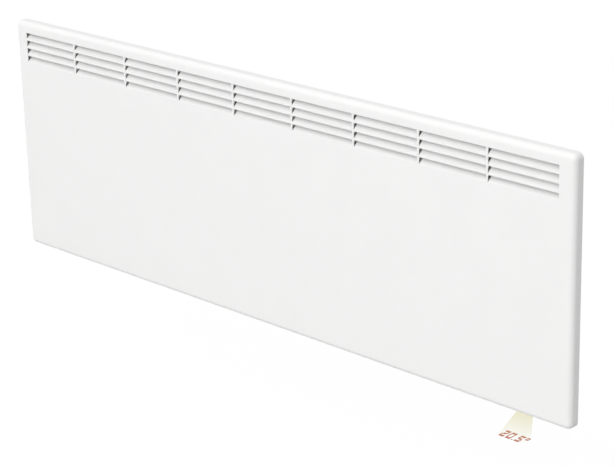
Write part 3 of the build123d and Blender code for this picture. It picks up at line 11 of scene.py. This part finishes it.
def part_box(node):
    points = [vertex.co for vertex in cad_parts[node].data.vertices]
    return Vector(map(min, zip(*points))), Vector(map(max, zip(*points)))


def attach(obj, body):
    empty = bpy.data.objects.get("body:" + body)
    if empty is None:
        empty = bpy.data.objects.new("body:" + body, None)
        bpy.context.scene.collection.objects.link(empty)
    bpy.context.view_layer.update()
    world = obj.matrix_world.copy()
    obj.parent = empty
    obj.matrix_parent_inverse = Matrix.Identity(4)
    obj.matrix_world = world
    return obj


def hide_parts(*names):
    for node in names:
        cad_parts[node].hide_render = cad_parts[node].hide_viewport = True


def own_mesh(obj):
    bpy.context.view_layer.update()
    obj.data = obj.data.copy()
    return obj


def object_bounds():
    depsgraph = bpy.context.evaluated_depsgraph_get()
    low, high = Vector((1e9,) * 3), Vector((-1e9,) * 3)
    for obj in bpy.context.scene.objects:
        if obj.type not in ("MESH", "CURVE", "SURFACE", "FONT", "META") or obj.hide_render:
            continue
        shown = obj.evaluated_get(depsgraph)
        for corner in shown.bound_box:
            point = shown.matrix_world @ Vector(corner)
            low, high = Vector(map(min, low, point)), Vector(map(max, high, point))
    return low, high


MM = 0.001

# Camera, matched to the photograph: metres and degrees in the frame's own axes
CAMERA_PLACE = (2.1701, -2.1851, 1.0512)
CAMERA_AZIMUTH = 44.76
CAMERA_PITCH = 19.62
CAMERA_ROLL = -1.38
CAMERA_LENS = 121.54
SENSOR_WIDTH = 36.0

# Studio: a pale floor under the heater, a wide lamp above its front and a second one straight ahead
FLOOR_DROP = 0.20
FLOOR_SIZE = 40.0
FLOOR_PALE = 0.50
FLOOR_ROUGH = 0.9
FLOOR_GLOW = 1.10
FLOOR_GLOW_SHARE = 0.85
SKY_LOW = 0.36
SKY_HIGH = 0.92
KEY_PLACE = (0.7, -4.8, 5.8)
KEY_SIZE = 4.5
KEY_POWER = 105.0
FILL_PLACE = (0.6, -6.9, 1.0)
FILL_SIZE = 3.0
FILL_POWER = 154.0

# Cross recesses in the screw heads: reach as a share of the head's radius, and the arm's width and depth
RECESS_REACH = 0.58
RECESS_ARM_MM = 0.9
RECESS_DEPTH_MM = 0.8
WELD_MM = 0.001

# Printed marks: the ink's height over the surface and how far it goes into it, a mark's width and its line
INK_MM = 0.12
INK_SUNK_MM = 0.03
MARK_MM = 3.2
LINE_MM = 0.55
RING_STEPS = 40

# Catch springs: closed end turns, open turns between, steps in a turn, and round wire
COIL_END_TURNS = 0.9
COIL_OPEN_TURNS = 5.0
COIL_STEPS = 28
WIRE_MM = 0.9
WIRE_SIDES = 12

# Light from the projector: digits on a level patch under the heater, and the beam that leads to them
DIGITS_PLACE = (0.4995, -0.094, -0.210)
DIGITS_WIDTH = 0.043
DIGITS_DEPTH = 0.021
DIGITS_CELLS = 4.9
# Each sign: start and width in cells, low and high as shares of the depth, lit segments
DIGITS = (
    (0.0, 1.0, 0.0, 1.0, "abged"),
    (1.3, 1.0, 0.0, 1.0, "abcdef"),
    (2.6, 0.25, 0.0, 0.13, "."),
    (3.1, 1.0, 0.0, 1.0, "afgcd"),
    (4.4, 0.6, 0.58, 1.0, "abcdef"),
)
# A segment's thickness as a share of a full digit, and its largest share of a small sign
SEGMENT_SHARE = 0.24
SEGMENT_MOST = 0.33
DIGIT_COLOUR = (0.46, 0.10, 0.05)
DIGIT_COVER = 0.9
# The beam's mouth: its width and depth, and its place from the window's middle, still within the window
BEAM_MOUTH = (0.011, 0.004)
BEAM_SHIFT = Vector((-0.0085, -0.003, 0.0))
BEAM_COLOUR = (0.71, 0.66, 0.31)
BEAM_HAZE = 0.52
BEAM_FOOT_HAZE = 0.06

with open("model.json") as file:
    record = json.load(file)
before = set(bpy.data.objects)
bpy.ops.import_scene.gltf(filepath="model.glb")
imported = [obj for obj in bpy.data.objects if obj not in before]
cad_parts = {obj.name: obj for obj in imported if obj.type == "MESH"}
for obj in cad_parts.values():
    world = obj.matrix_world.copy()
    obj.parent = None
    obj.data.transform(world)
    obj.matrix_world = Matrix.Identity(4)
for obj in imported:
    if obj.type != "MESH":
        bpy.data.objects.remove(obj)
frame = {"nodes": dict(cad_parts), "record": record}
cad_box = [list(corner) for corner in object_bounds()]
nodes = frame["nodes"]


# ---------------------------------------------------------------- finishes

UNSTRETCHED = (1.0, 1.0, 1.0)
CLOUD_DETAIL = 3.0
GRAIN_DETAIL = 2.0
CLEAR_IOR = 1.49
CLEAR_SHARE = 0.95


class Graph:
    """One material's node tree with short calls for the nodes used here."""

    def __init__(self, name):
        self.material = bpy.data.materials.new(name)
        self.material.use_nodes = True
        self.tree = self.material.node_tree
        self.shader = self.tree.nodes["Principled BSDF"]
        self.output = self.tree.nodes["Material Output"]

    def add(self, kind, **settings):
        node = self.tree.nodes.new(kind)
        for key, value in settings.items():
            setattr(node, key, value)
        return node

    def link(self, source, target):
        self.tree.links.new(source, target)

    def place(self, stretch):
        """Object coordinates in metres, stretched along the axes."""
        coordinate = self.add("ShaderNodeTexCoord")
        mapping = self.add("ShaderNodeMapping")
        mapping.inputs["Scale"].default_value = stretch
        self.link(coordinate.outputs["Object"], mapping.inputs["Vector"])
        return mapping.outputs["Vector"]

    def noise(self, vector, scale, detail=CLOUD_DETAIL):
        node = self.add("ShaderNodeTexNoise")
        node.inputs["Scale"].default_value = scale
        node.inputs["Detail"].default_value = detail
        self.link(vector, node.inputs["Vector"])
        return node.outputs["Fac"]

    def cells(self, vector, scale):
        node = self.add("ShaderNodeTexVoronoi")
        node.inputs["Scale"].default_value = scale
        self.link(vector, node.inputs["Vector"])
        return node.outputs["Color"]

    def spread(self, value, low, high, start=0.3, end=0.7):
        """value, from start to end, spread over low to high."""
        node = self.add("ShaderNodeMapRange")
        for name, number in zip(("From Min", "From Max", "To Min", "To Max"), (start, end, low, high)):
            node.inputs[name].default_value = number
        self.link(value, node.inputs["Value"])
        return node.outputs["Result"]

    def blend(self, factor, dark, light):
        node = self.add("ShaderNodeMix", data_type="RGBA")
        node.inputs["A"].default_value = (*dark, 1.0)
        node.inputs["B"].default_value = (*light, 1.0)
        self.link(factor, node.inputs["Factor"])
        return node.outputs["Result"]

    def relief(self, vector, grain, detail):
        """A fine relief, from its scale, strength and height in mm."""
        scale, strength, height_mm = grain
        node = self.add("ShaderNodeBump")
        node.inputs["Strength"].default_value = strength
        node.inputs["Distance"].default_value = height_mm * MM
        self.link(self.noise(vector, scale, detail), node.inputs["Height"])
        self.link(node.outputs["Normal"], self.shader.inputs["Normal"])

    def fix(self, **values):
        """Constants set straight on the shader's sockets, named with _ for a space."""
        for name, value in values.items():
            self.shader.inputs[name.replace("_", " ")].default_value = value


def toned(colour, share):
    """A colour lightened by a share, or darkened where the share is negative."""
    return tuple(min(1.0, channel * (1.0 + share)) for channel in colour)


def finish(name, colour, rough, metal=0.0, mottle=0.04, mottle_scale=60.0, grain=(1400.0, 0.15, 0.05),
           stretch=UNSTRETCHED, rough_spread=0.06, spangle=0.0, **fixed):
    """A base colour that drifts by mottle, uneven gloss, and a fine relief from grain.

    The drift is a cloud, or crystals as on zinc-dipped steel where spangle gives their scale.
    """
    graph = Graph(name)
    place = graph.place(stretch)
    drift = graph.cells(place, spangle) if spangle else graph.noise(place, mottle_scale)
    tint = graph.blend(graph.spread(drift, 0.0, 1.0), toned(colour, -mottle), toned(colour, mottle))
    gloss = graph.spread(drift, rough - rough_spread, rough + rough_spread)
    graph.link(tint, graph.shader.inputs["Base Color"])
    graph.link(gloss, graph.shader.inputs["Roughness"])
    graph.relief(place, grain, GRAIN_DETAIL)
    graph.fix(Metallic=metal, **fixed)
    return graph.material


def clear_finish(name, colour, rough, rough_spread, flow_scale):
    """A clear moulded piece with faint flow marks."""
    graph = Graph(name)
    flow = graph.noise(graph.place(UNSTRETCHED), flow_scale)
    graph.link(graph.spread(flow, rough, rough + rough_spread), graph.shader.inputs["Roughness"])
    graph.fix(Base_Color=(*colour, 1.0), Transmission_Weight=CLEAR_SHARE, IOR=CLEAR_IOR)
    return graph.material


def board_finish(name):
    """Green circuit board: tracks as paler lines under the lacquer."""
    graph = Graph(name)
    place = graph.place(UNSTRETCHED)
    track = graph.add("ShaderNodeTexBrick")
    settings = {
        "Scale": 160.0,
        "Mortar Size": 0.012,
        "Color1": (0.012, 0.11, 0.035, 1.0),
        "Color2": (0.010, 0.095, 0.030, 1.0),
        "Mortar": (0.03, 0.20, 0.07, 1.0),
    }
    for key, value in settings.items():
        track.inputs[key].default_value = value
    graph.link(place, track.inputs["Vector"])
    graph.link(track.outputs["Color"], graph.shader.inputs["Base Color"])
    graph.relief(place, (900.0, 0.1, 0.05), CLOUD_DETAIL)
    graph.fix(Roughness=0.35, Coat_Weight=0.3)
    return graph.material


def lamp_finish(name):
    """A small warm lamp: clear dome over a lit core."""
    graph = Graph(name)
    tone = graph.spread(graph.noise(graph.place(UNSTRETCHED), 700.0), 0.0, 1.0)
    graph.link(graph.blend(tone, (0.8, 0.16, 0.03), (0.95, 0.28, 0.06)), graph.shader.inputs["Base Color"])
    graph.fix(Roughness=0.25, Emission_Color=(1.0, 0.22, 0.05, 1.0), Emission_Strength=2.0)
    return graph.material


finishes = {
    "panel_white": finish("panel_white", (0.92, 0.92, 0.915), 0.56, mottle=0.006, mottle_scale=14.0,
                          grain=(820.0, 0.22, 0.035), rough_spread=0.03, Specular_IOR_Level=0.25),
    "casing_white": finish("casing_white", (0.88, 0.88, 0.87), 0.48, mottle=0.008, mottle_scale=18.0,
                           grain=(820.0, 0.25, 0.04), rough_spread=0.04),
    "galvanised": finish("galvanised", (0.66, 0.67, 0.68), 0.38, metal=0.9, mottle=0.05, spangle=150.0,
                         grain=(600.0, 0.12, 0.02), rough_spread=0.05),
    "bright_sheet": finish("bright_sheet", (0.84, 0.85, 0.86), 0.24, metal=1.0, mottle=0.03,
                           grain=(500.0, 0.10, 0.02), stretch=(0.06, 1.0, 1.0)),
    "fin_aluminium": finish("fin_aluminium", (0.70, 0.71, 0.72), 0.34, metal=1.0, mottle=0.06,
                            grain=(900.0, 0.12, 0.03), stretch=(1.0, 1.0, 0.08)),
    "sheath": finish("sheath", (0.26, 0.22, 0.19), 0.42, metal=0.9, mottle=0.35, mottle_scale=22.0,
                     grain=(1200.0, 0.15, 0.02), stretch=(0.25, 1.0, 1.0)),
    "zinc": finish("zinc", (0.66, 0.67, 0.68), 0.30, metal=1.0, mottle=0.06, mottle_scale=300.0,
                   grain=(2200.0, 0.12, 0.01)),
    "brass": finish("brass", (0.62, 0.44, 0.17), 0.30, metal=1.0, mottle=0.08, mottle_scale=260.0,
                    grain=(2200.0, 0.12, 0.01)),
    "spring_steel": finish("spring_steel", (0.40, 0.41, 0.43), 0.28, metal=1.0, mottle=0.10,
                           mottle_scale=500.0, grain=(2600.0, 0.12, 0.01)),
    "ceramic": finish("ceramic", (0.74, 0.70, 0.62), 0.50, mottle=0.06, mottle_scale=700.0,
                      grain=(2400.0, 0.30, 0.02)),
    "housing_plastic": finish("housing_plastic", (0.80, 0.80, 0.79), 0.55, mottle=0.012,
                              grain=(2600.0, 0.40, 0.03)),
    "key_plastic": finish("key_plastic", (0.70, 0.71, 0.72), 0.45, mottle=0.015, grain=(3000.0, 0.25, 0.02)),
    "dark_plastic": finish("dark_plastic", (0.035, 0.036, 0.038), 0.45, mottle=0.10, mottle_scale=220.0,
                           grain=(2600.0, 0.35, 0.03)),
    "catch_plastic": finish("catch_plastic", (0.20, 0.21, 0.22), 0.48, mottle=0.06, mottle_scale=180.0,
                            grain=(2400.0, 0.35, 0.03)),
    "terminal_plastic": finish("terminal_plastic", (0.66, 0.64, 0.56), 0.50, mottle=0.05,
                               grain=(2400.0, 0.30, 0.03)),
    "component": finish("component", (0.04, 0.09, 0.22), 0.40, mottle=0.06, grain=(2400.0, 0.25, 0.03)),
    "transformer_yellow": finish("transformer_yellow", (0.72, 0.52, 0.10), 0.42, mottle=0.08,
                                 mottle_scale=240.0, grain=(1800.0, 0.30, 0.03), stretch=(1.0, 1.0, 0.15)),
    "pad_rubber": finish("pad_rubber", (0.06, 0.06, 0.06), 0.80, mottle=0.12, mottle_scale=400.0,
                         grain=(2200.0, 0.45, 0.04)),
    "lead_brown": finish("lead_brown", (0.16, 0.07, 0.035), 0.38, mottle=0.06, grain=(1800.0, 0.15, 0.02)),
    "lead_blue": finish("lead_blue", (0.03, 0.12, 0.42), 0.38, mottle=0.06, grain=(1800.0, 0.15, 0.02)),
    "lead_green": finish("lead_green", (0.10, 0.32, 0.06), 0.38, mottle=0.30, mottle_scale=120.0,
                         grain=(1800.0, 0.15, 0.02)),
    "ink": finish("ink", (0.10, 0.105, 0.11), 0.50, mottle=0.08, mottle_scale=900.0,
                  grain=(4000.0, 0.2, 0.01)),
    "board": board_finish("board"),
    "lamp": lamp_finish("lamp"),
    "lens_clear": clear_finish("lens_clear", (0.92, 0.93, 0.94), 0.03, rough_spread=0.04, flow_scale=90.0),
}

for part in frame["record"]["subparts"]:
    node = nodes[part["node"]]
    node.data.materials.clear()
    node.data.materials.append(finishes[part["material_slot"]])


# ---------------------------------------------------------------- small pieces

def linked(name, data):
    """A new object of the scene."""
    obj = bpy.data.objects.new(name, data)
    bpy.context.scene.collection.objects.link(obj)
    return obj


def mesh_piece(name, shape, material):
    """A new object from a bmesh, with one material."""
    mesh = bpy.data.meshes.new(name)
    shape.to_mesh(mesh)
    shape.free()
    mesh.materials.append(material)
    return linked(name, mesh)


def add_loop(shape, points):
    """New vertices at the points."""
    return [shape.verts.new(point) for point in points]


def add_band(shape, first, second):
    """Faces between two closed loops of as many vertices."""
    for n in range(len(first)):
        after = (n + 1) % len(first)
        shape.faces.new((first[n], first[after], second[after], second[n]))


def add_block(shape, low, high, placed):
    """A box between two corners, moved by placed."""
    size = [b - a for a, b in zip(low, high)]
    middle = [(a + b) / 2 for a, b in zip(low, high)]
    matrix = placed @ Matrix.Translation(middle) @ Matrix.Diagonal((*size, 1.0))
    bmesh.ops.create_cube(shape, size=1.0, matrix=matrix)


def add_ring(shape, outer, inner, low, high, placed):
    """A flat ring between two heights, moved by placed."""
    angles = [2 * pi * n / RING_STEPS for n in range(RING_STEPS)]
    loops = []
    for radius, height in ((outer, low), (outer, high), (inner, high), (inner, low)):
        points = (placed @ Vector((radius * cos(a), radius * sin(a), height)) for a in angles)
        loops.append(add_loop(shape, points))
    for first, second in zip(loops, loops[1:] + loops[:1]):
        add_band(shape, first, second)


def add_cross(shape, reach, arm, low, high, placed):
    """A cross-shaped prism along Y, moved by placed."""
    corner = [(arm, reach), (arm, arm), (reach, arm)]
    outline = []
    for turn in range(4):
        for x, z in corner:
            for _ in range(turn):
                x, z = z, -x
            outline.append((x, z))
    ends = [add_loop(shape, (placed @ Vector((x, y, z)) for x, z in outline)) for y in (low, high)]
    for end in ends:
        shape.faces.new(end)
    add_band(shape, *ends)


def solids_of(node):
    """The boxes of a node's separate solids, as (low, high) in the frame's axes."""
    shape = bmesh.new()
    shape.from_mesh(node.data)
    shape.transform(node.matrix_world)
    bmesh.ops.remove_doubles(shape, verts=shape.verts, dist=WELD_MM * MM)
    waiting = set(shape.verts)
    boxes = []
    while waiting:
        group, edge = set(), [waiting.pop()]
        while edge:
            vertex = edge.pop()
            group.add(vertex)
            near = {link.other_vert(vertex) for link in vertex.link_edges} & waiting
            waiting -= near
            edge.extend(near)
        corners = [[pick(v.co[axis] for v in group) for axis in range(3)] for pick in (min, max)]
        boxes.append(tuple(Vector(corner) for corner in corners))
    shape.free()
    return boxes


def recess_screws(name):
    """Cuts a cross into each screw head of a node, from the wall side."""
    arm, depth = RECESS_ARM_MM * MM / 2, RECESS_DEPTH_MM * MM
    shape = bmesh.new()
    for low, high in solids_of(nodes[name]):
        reach = (high.x - low.x) / 2 * RECESS_REACH
        middle = (low + high) / 2
        add_cross(shape, reach, arm, -depth, depth, Matrix.Translation((middle.x, high.y, middle.z)))
    bmesh.ops.recalc_face_normals(shape, faces=shape.faces)
    cutter = mesh_piece(name + "_recess", shape, finishes["zinc"])
    cutter.hide_render = True
    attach(cutter, "heater")
    weld = nodes[name].modifiers.new("weld", "WELD")
    weld.merge_threshold = WELD_MM * MM
    cut = nodes[name].modifiers.new("recess", "BOOLEAN")
    cut.operation = "DIFFERENCE"
    cut.solver = "EXACT"
    cut.object = cutter


def face_of(node, place, toward):
    """Where a straight line meets a node's surface, as a matrix with Z out of the surface."""
    to_local = node.matrix_world.inverted()
    turn = to_local.to_3x3()
    hit, where, normal, _ = node.ray_cast(to_local @ Vector(place), turn @ Vector(toward))
    if not hit:
        raise ValueError(f"no surface of {node.name} under {place}")
    out = (node.matrix_world.to_3x3() @ normal).normalized()
    side = Vector((0.0, 0.0, 1.0)).cross(out).normalized()
    turned = Matrix((side, out.cross(side), out)).transposed().to_4x4()
    return Matrix.Translation(node.matrix_world @ where) @ turned


def printed(name, node, body, place, bars=(), ring=0.0):
    """Ink on a node's right-hand face: bars as (x, y, width, height) in mm, and a ring by its radius."""
    placed = face_of(nodes[node], place, (-1.0, 0.0, 0.0))
    low, high = -INK_SUNK_MM * MM, INK_MM * MM
    shape = bmesh.new()
    for x, y, width, height in bars:
        corner = ((x - width / 2) * MM, (y - height / 2) * MM, low)
        add_block(shape, corner, (corner[0] + width * MM, corner[1] + height * MM, high), placed)
    if ring:
        add_ring(shape, ring * MM, (ring - LINE_MM) * MM, low, high, placed)
    bmesh.ops.recalc_face_normals(shape, faces=shape.faces)
    piece = mesh_piece(name, shape, finishes["ink"])
    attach(piece, body)


def key_marks():
    """Minus, plus and a ring on the three buttons, and the line and ring of a mains switch."""
    arm = (MARK_MM - LINE_MM) / 2
    side = (MARK_MM + LINE_MM) / 4
    minus = [(0.0, 0.0, MARK_MM, LINE_MM)]
    plus = [(0.0, 0.0, LINE_MM, MARK_MM), (-side, 0.0, arm, LINE_MM), (side, 0.0, arm, LINE_MM)]
    marks = {"button_minus": (minus, 0.0), "button_plus": (plus, 0.0), "button_mode": ((), MARK_MM / 2)}
    for name, (bars, ring) in marks.items():
        low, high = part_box(name)
        start = (high.x + MM, (low.y + high.y) / 2, (low.z + high.z) / 2)
        printed(name + "_mark", name, name, start, bars, ring)
    low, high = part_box("rocker")
    outside, middle = high.x + MM, (low.y + high.y) / 2
    rise = (high.z - low.z) / 4
    line = [(0.0, 0.0, LINE_MM, MARK_MM)]
    printed("rocker_line", "rocker", "rocker", (outside, middle, low.z + rise), line)
    printed("rocker_ring", "rocker", "rocker", (outside, middle, high.z - rise), ring=MARK_MM / 2)


def coil(name):
    """Round wire wound round the spring's own axis: closed turns at both ends, open turns between."""
    low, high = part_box(name)
    middle = (low + high) / 2
    wire = WIRE_MM * MM / 2
    radius = (high.x - low.x) / 2 - wire
    turns = COIL_OPEN_TURNS + 2 * COIL_END_TURNS
    steps = round(turns * COIL_STEPS)
    closed = 2 * wire * COIL_END_TURNS
    open_rise = high.z - low.z - 2 * wire - 2 * closed

    def height(turn):
        if turn < COIL_END_TURNS:
            return closed * turn / COIL_END_TURNS
        if turn > turns - COIL_END_TURNS:
            return closed + open_rise + closed * (1 - (turns - turn) / COIL_END_TURNS)
        return closed + open_rise * (turn - COIL_END_TURNS) / COIL_OPEN_TURNS

    shape = bmesh.new()
    up = Vector((0.0, 0.0, 1.0))
    angles = [2 * pi * n / WIRE_SIDES for n in range(WIRE_SIDES)]
    rings = []
    for n in range(steps + 1):
        turn = n / COIL_STEPS
        out = Vector((cos(2 * pi * turn), sin(2 * pi * turn), 0.0))
        centre = Vector((middle.x, middle.y, low.z + wire + height(turn))) + radius * out
        rings.append(add_loop(shape, (centre + wire * (cos(a) * out + sin(a) * up) for a in angles)))
    for first, second in zip(rings, rings[1:]):
        add_band(shape, first, second)
    shape.faces.new(rings[0])
    shape.faces.new(rings[-1])
    bmesh.ops.recalc_face_normals(shape, faces=shape.faces)
    for face in shape.faces:
        face.smooth = len(face.verts) == 4
    piece = mesh_piece(name + "_coil", shape, finishes["spring_steel"])
    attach(piece, "wall_bracket")
    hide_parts(name)
    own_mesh(piece)


# ---------------------------------------------------------------- studio

def area_light(name, place, size, power):
    """A square lamp that faces the frame's origin."""
    data = bpy.data.lights.new(name, "AREA")
    data.shape = "SQUARE"
    data.size = size
    data.energy = power
    lamp = linked(name, data)
    lamp.location = place
    lamp.rotation_euler = (-Vector(place)).to_track_quat("-Z", "Y").to_euler()


def seen_rays(tree):
    """1 for rays that the eye follows: straight, mirrored or through glass."""
    path = tree.nodes.new("ShaderNodeLightPath")
    total = path.outputs["Is Camera Ray"]
    for name in ("Is Glossy Ray", "Is Transmission Ray"):
        longest = tree.nodes.new("ShaderNodeMath")
        longest.operation = "MAXIMUM"
        tree.links.new(total, longest.inputs[0])
        tree.links.new(path.outputs[name], longest.inputs[1])
        total = longest.outputs["Value"]
    return total


def studio_floor():
    """A pale floor that shows near white and keeps the soft shadow."""
    foot = cad_box[0][2]
    bpy.ops.mesh.primitive_plane_add(size=FLOOR_SIZE, location=(0.0, 0.0, foot - FLOOR_DROP))
    floor = bpy.context.object
    floor.name = "floor"
    graph = Graph("floor_pale")
    graph.fix(Base_Color=(FLOOR_PALE, FLOOR_PALE, FLOOR_PALE, 1.0), Roughness=FLOOR_ROUGH)
    glow = graph.add("ShaderNodeEmission")
    glow.inputs["Strength"].default_value = FLOOR_GLOW
    share = graph.add("ShaderNodeMath", operation="MULTIPLY")
    share.inputs[1].default_value = FLOOR_GLOW_SHARE
    graph.link(seen_rays(graph.tree), share.inputs[0])
    mix = graph.add("ShaderNodeMixShader")
    graph.link(share.outputs["Value"], mix.inputs["Fac"])
    graph.link(graph.shader.outputs["BSDF"], mix.inputs[1])
    graph.link(glow.outputs["Emission"], mix.inputs[2])
    graph.link(mix.outputs["Shader"], graph.output.inputs["Surface"])
    floor.data.materials.append(graph.material)


def studio_world():
    """White where it is seen or mirrored, softer as light on the object."""
    world = bpy.data.worlds.new("studio")
    bpy.context.scene.world = world
    world.use_nodes = True
    tree = world.node_tree
    background = tree.nodes["Background"]
    background.inputs["Color"].default_value = (1.0, 1.0, 1.0, 1.0)
    place = tree.nodes.new("ShaderNodeTexCoord")
    split = tree.nodes.new("ShaderNodeSeparateXYZ")
    sky = tree.nodes.new("ShaderNodeMapRange")
    sky.inputs["To Min"].default_value = SKY_LOW
    sky.inputs["To Max"].default_value = SKY_HIGH
    level = tree.nodes.new("ShaderNodeMapRange")
    level.inputs["To Max"].default_value = 1.0
    tree.links.new(place.outputs["Generated"], split.inputs["Vector"])
    tree.links.new(split.outputs["Z"], sky.inputs["Value"])
    tree.links.new(sky.outputs["Result"], level.inputs["To Min"])
    tree.links.new(seen_rays(tree), level.inputs["Value"])
    tree.links.new(level.outputs["Result"], background.inputs["Strength"])


def light_only(obj):
    """Scenery of light, which goes with the heater: the camera sees it, and it casts and mirrors nothing."""
    for ray in ("visible_shadow", "visible_diffuse", "visible_glossy", "visible_transmission"):
        setattr(obj, ray, False)
    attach(obj, "heater")


def lit_air(name, colour, cover, foot_cover):
    """Light seen in the air: it covers a share of what is behind, which changes towards its foot."""
    graph = Graph(name)
    place = graph.add("ShaderNodeTexCoord")
    split = graph.add("ShaderNodeSeparateXYZ")
    graph.link(place.outputs["Generated"], split.inputs["Vector"])
    share = graph.spread(split.outputs["Z"], foot_cover, cover, 0.0, 1.0)
    glow = graph.add("ShaderNodeEmission")
    glow.inputs["Color"].default_value = (*colour, 1.0)
    clear = graph.add("ShaderNodeBsdfTransparent")
    mix = graph.add("ShaderNodeMixShader")
    graph.link(share, mix.inputs["Fac"])
    graph.link(clear.outputs["BSDF"], mix.inputs[1])
    graph.link(glow.outputs["Emission"], mix.inputs[2])
    graph.link(mix.outputs["Shader"], graph.output.inputs["Surface"])
    return graph.material


def segment_boxes(segments, across, along):
    """A sign's lit segments in a cell of one by one, as (x0, y0, x1, y1), from their two thicknesses."""
    right, top, middle = 1.0 - across, 1.0 - along, 0.5
    boxes = {
        "a": (0.0, top, 1.0, 1.0),
        "b": (right, middle, 1.0, top),
        "c": (right, along, 1.0, middle),
        "d": (0.0, 0.0, 1.0, along),
        "e": (0.0, along, across, middle),
        "f": (0.0, middle, across, top),
        "g": (across, middle - along / 2, right, middle + along / 2),
        ".": (0.0, 0.0, 1.0, 1.0),
    }
    return [boxes[letter] for letter in segments]


def projected_digits():
    """A temperature in lit digits on a level patch under the heater."""
    middle_x, middle_y, level = DIGITS_PLACE
    cell = DIGITS_WIDTH / DIGITS_CELLS
    left, near = middle_x - DIGITS_WIDTH / 2, middle_y - DIGITS_DEPTH / 2
    shape = bmesh.new()
    for start, wide, low, high, segments in DIGITS:
        across = min(SEGMENT_SHARE / wide, SEGMENT_MOST)
        along = min(SEGMENT_SHARE / (high - low), SEGMENT_MOST)
        for x0, y0, x1, y1 in segment_boxes(segments, across, along):
            left_x, right_x = (left + cell * (start + wide * share) for share in (x0, x1))
            near_y, far_y = (near + DIGITS_DEPTH * (low + (high - low) * share) for share in (y0, y1))
            corners = ((left_x, near_y), (right_x, near_y), (right_x, far_y), (left_x, far_y))
            shape.faces.new(add_loop(shape, ((x, y, level) for x, y in corners)))
    light = lit_air("digit_light", DIGIT_COLOUR, DIGIT_COVER, DIGIT_COVER)
    light_only(mesh_piece("projected_digits", shape, light))


def projected_beam():
    """The faint beam from the projector's window to the digits."""
    low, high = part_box("projector_window")
    mouth = Vector(((low.x + high.x) / 2, (low.y + high.y) / 2, low.z)) + BEAM_SHIFT
    shape = bmesh.new()
    rings = []
    for place, wide, deep in ((mouth, *BEAM_MOUTH), (Vector(DIGITS_PLACE), DIGITS_WIDTH, DIGITS_DEPTH)):
        corners = ((-wide, -deep), (wide, -deep), (wide, deep), (-wide, deep))
        rings.append(add_loop(shape, (place + Vector((x / 2, y / 2, 0.0)) for x, y in corners)))
    add_band(shape, *rings)
    light = lit_air("beam_light", BEAM_COLOUR, BEAM_HAZE, BEAM_FOOT_HAZE)
    light_only(mesh_piece("projected_beam", shape, light))


def studio_camera():
    """The photograph's viewpoint, with its slight roll."""
    azimuth, pitch, roll = radians(CAMERA_AZIMUTH), radians(CAMERA_PITCH), radians(CAMERA_ROLL)
    back = Vector((sin(azimuth) * cos(pitch), -cos(azimuth) * cos(pitch), sin(pitch)))
    level = Vector((cos(azimuth), sin(azimuth), 0.0))
    upright = back.cross(level)
    right = level * cos(roll) + upright * sin(roll)
    up = upright * cos(roll) - level * sin(roll)
    data = bpy.data.cameras.new("camera")
    data.lens = CAMERA_LENS
    data.sensor_width = SENSOR_WIDTH
    camera = linked("camera", data)
    camera.matrix_world = Matrix.Translation(CAMERA_PLACE) @ Matrix((right, up, back)).transposed().to_4x4()
    bpy.context.scene.camera = camera


for screws in ("casing_screws", "lid_screws", "board_screws"):
    recess_screws(screws)
key_marks()
coil("catch_spring_left")
coil("catch_spring_right")

studio_floor()
studio_world()
projected_digits()
projected_beam()
studio_camera()
area_light("key", KEY_PLACE, KEY_SIZE, KEY_POWER)
area_light("fill", FILL_PLACE, FILL_SIZE, FILL_POWER)
bpy.context.scene.view_settings.view_transform = "Standard"
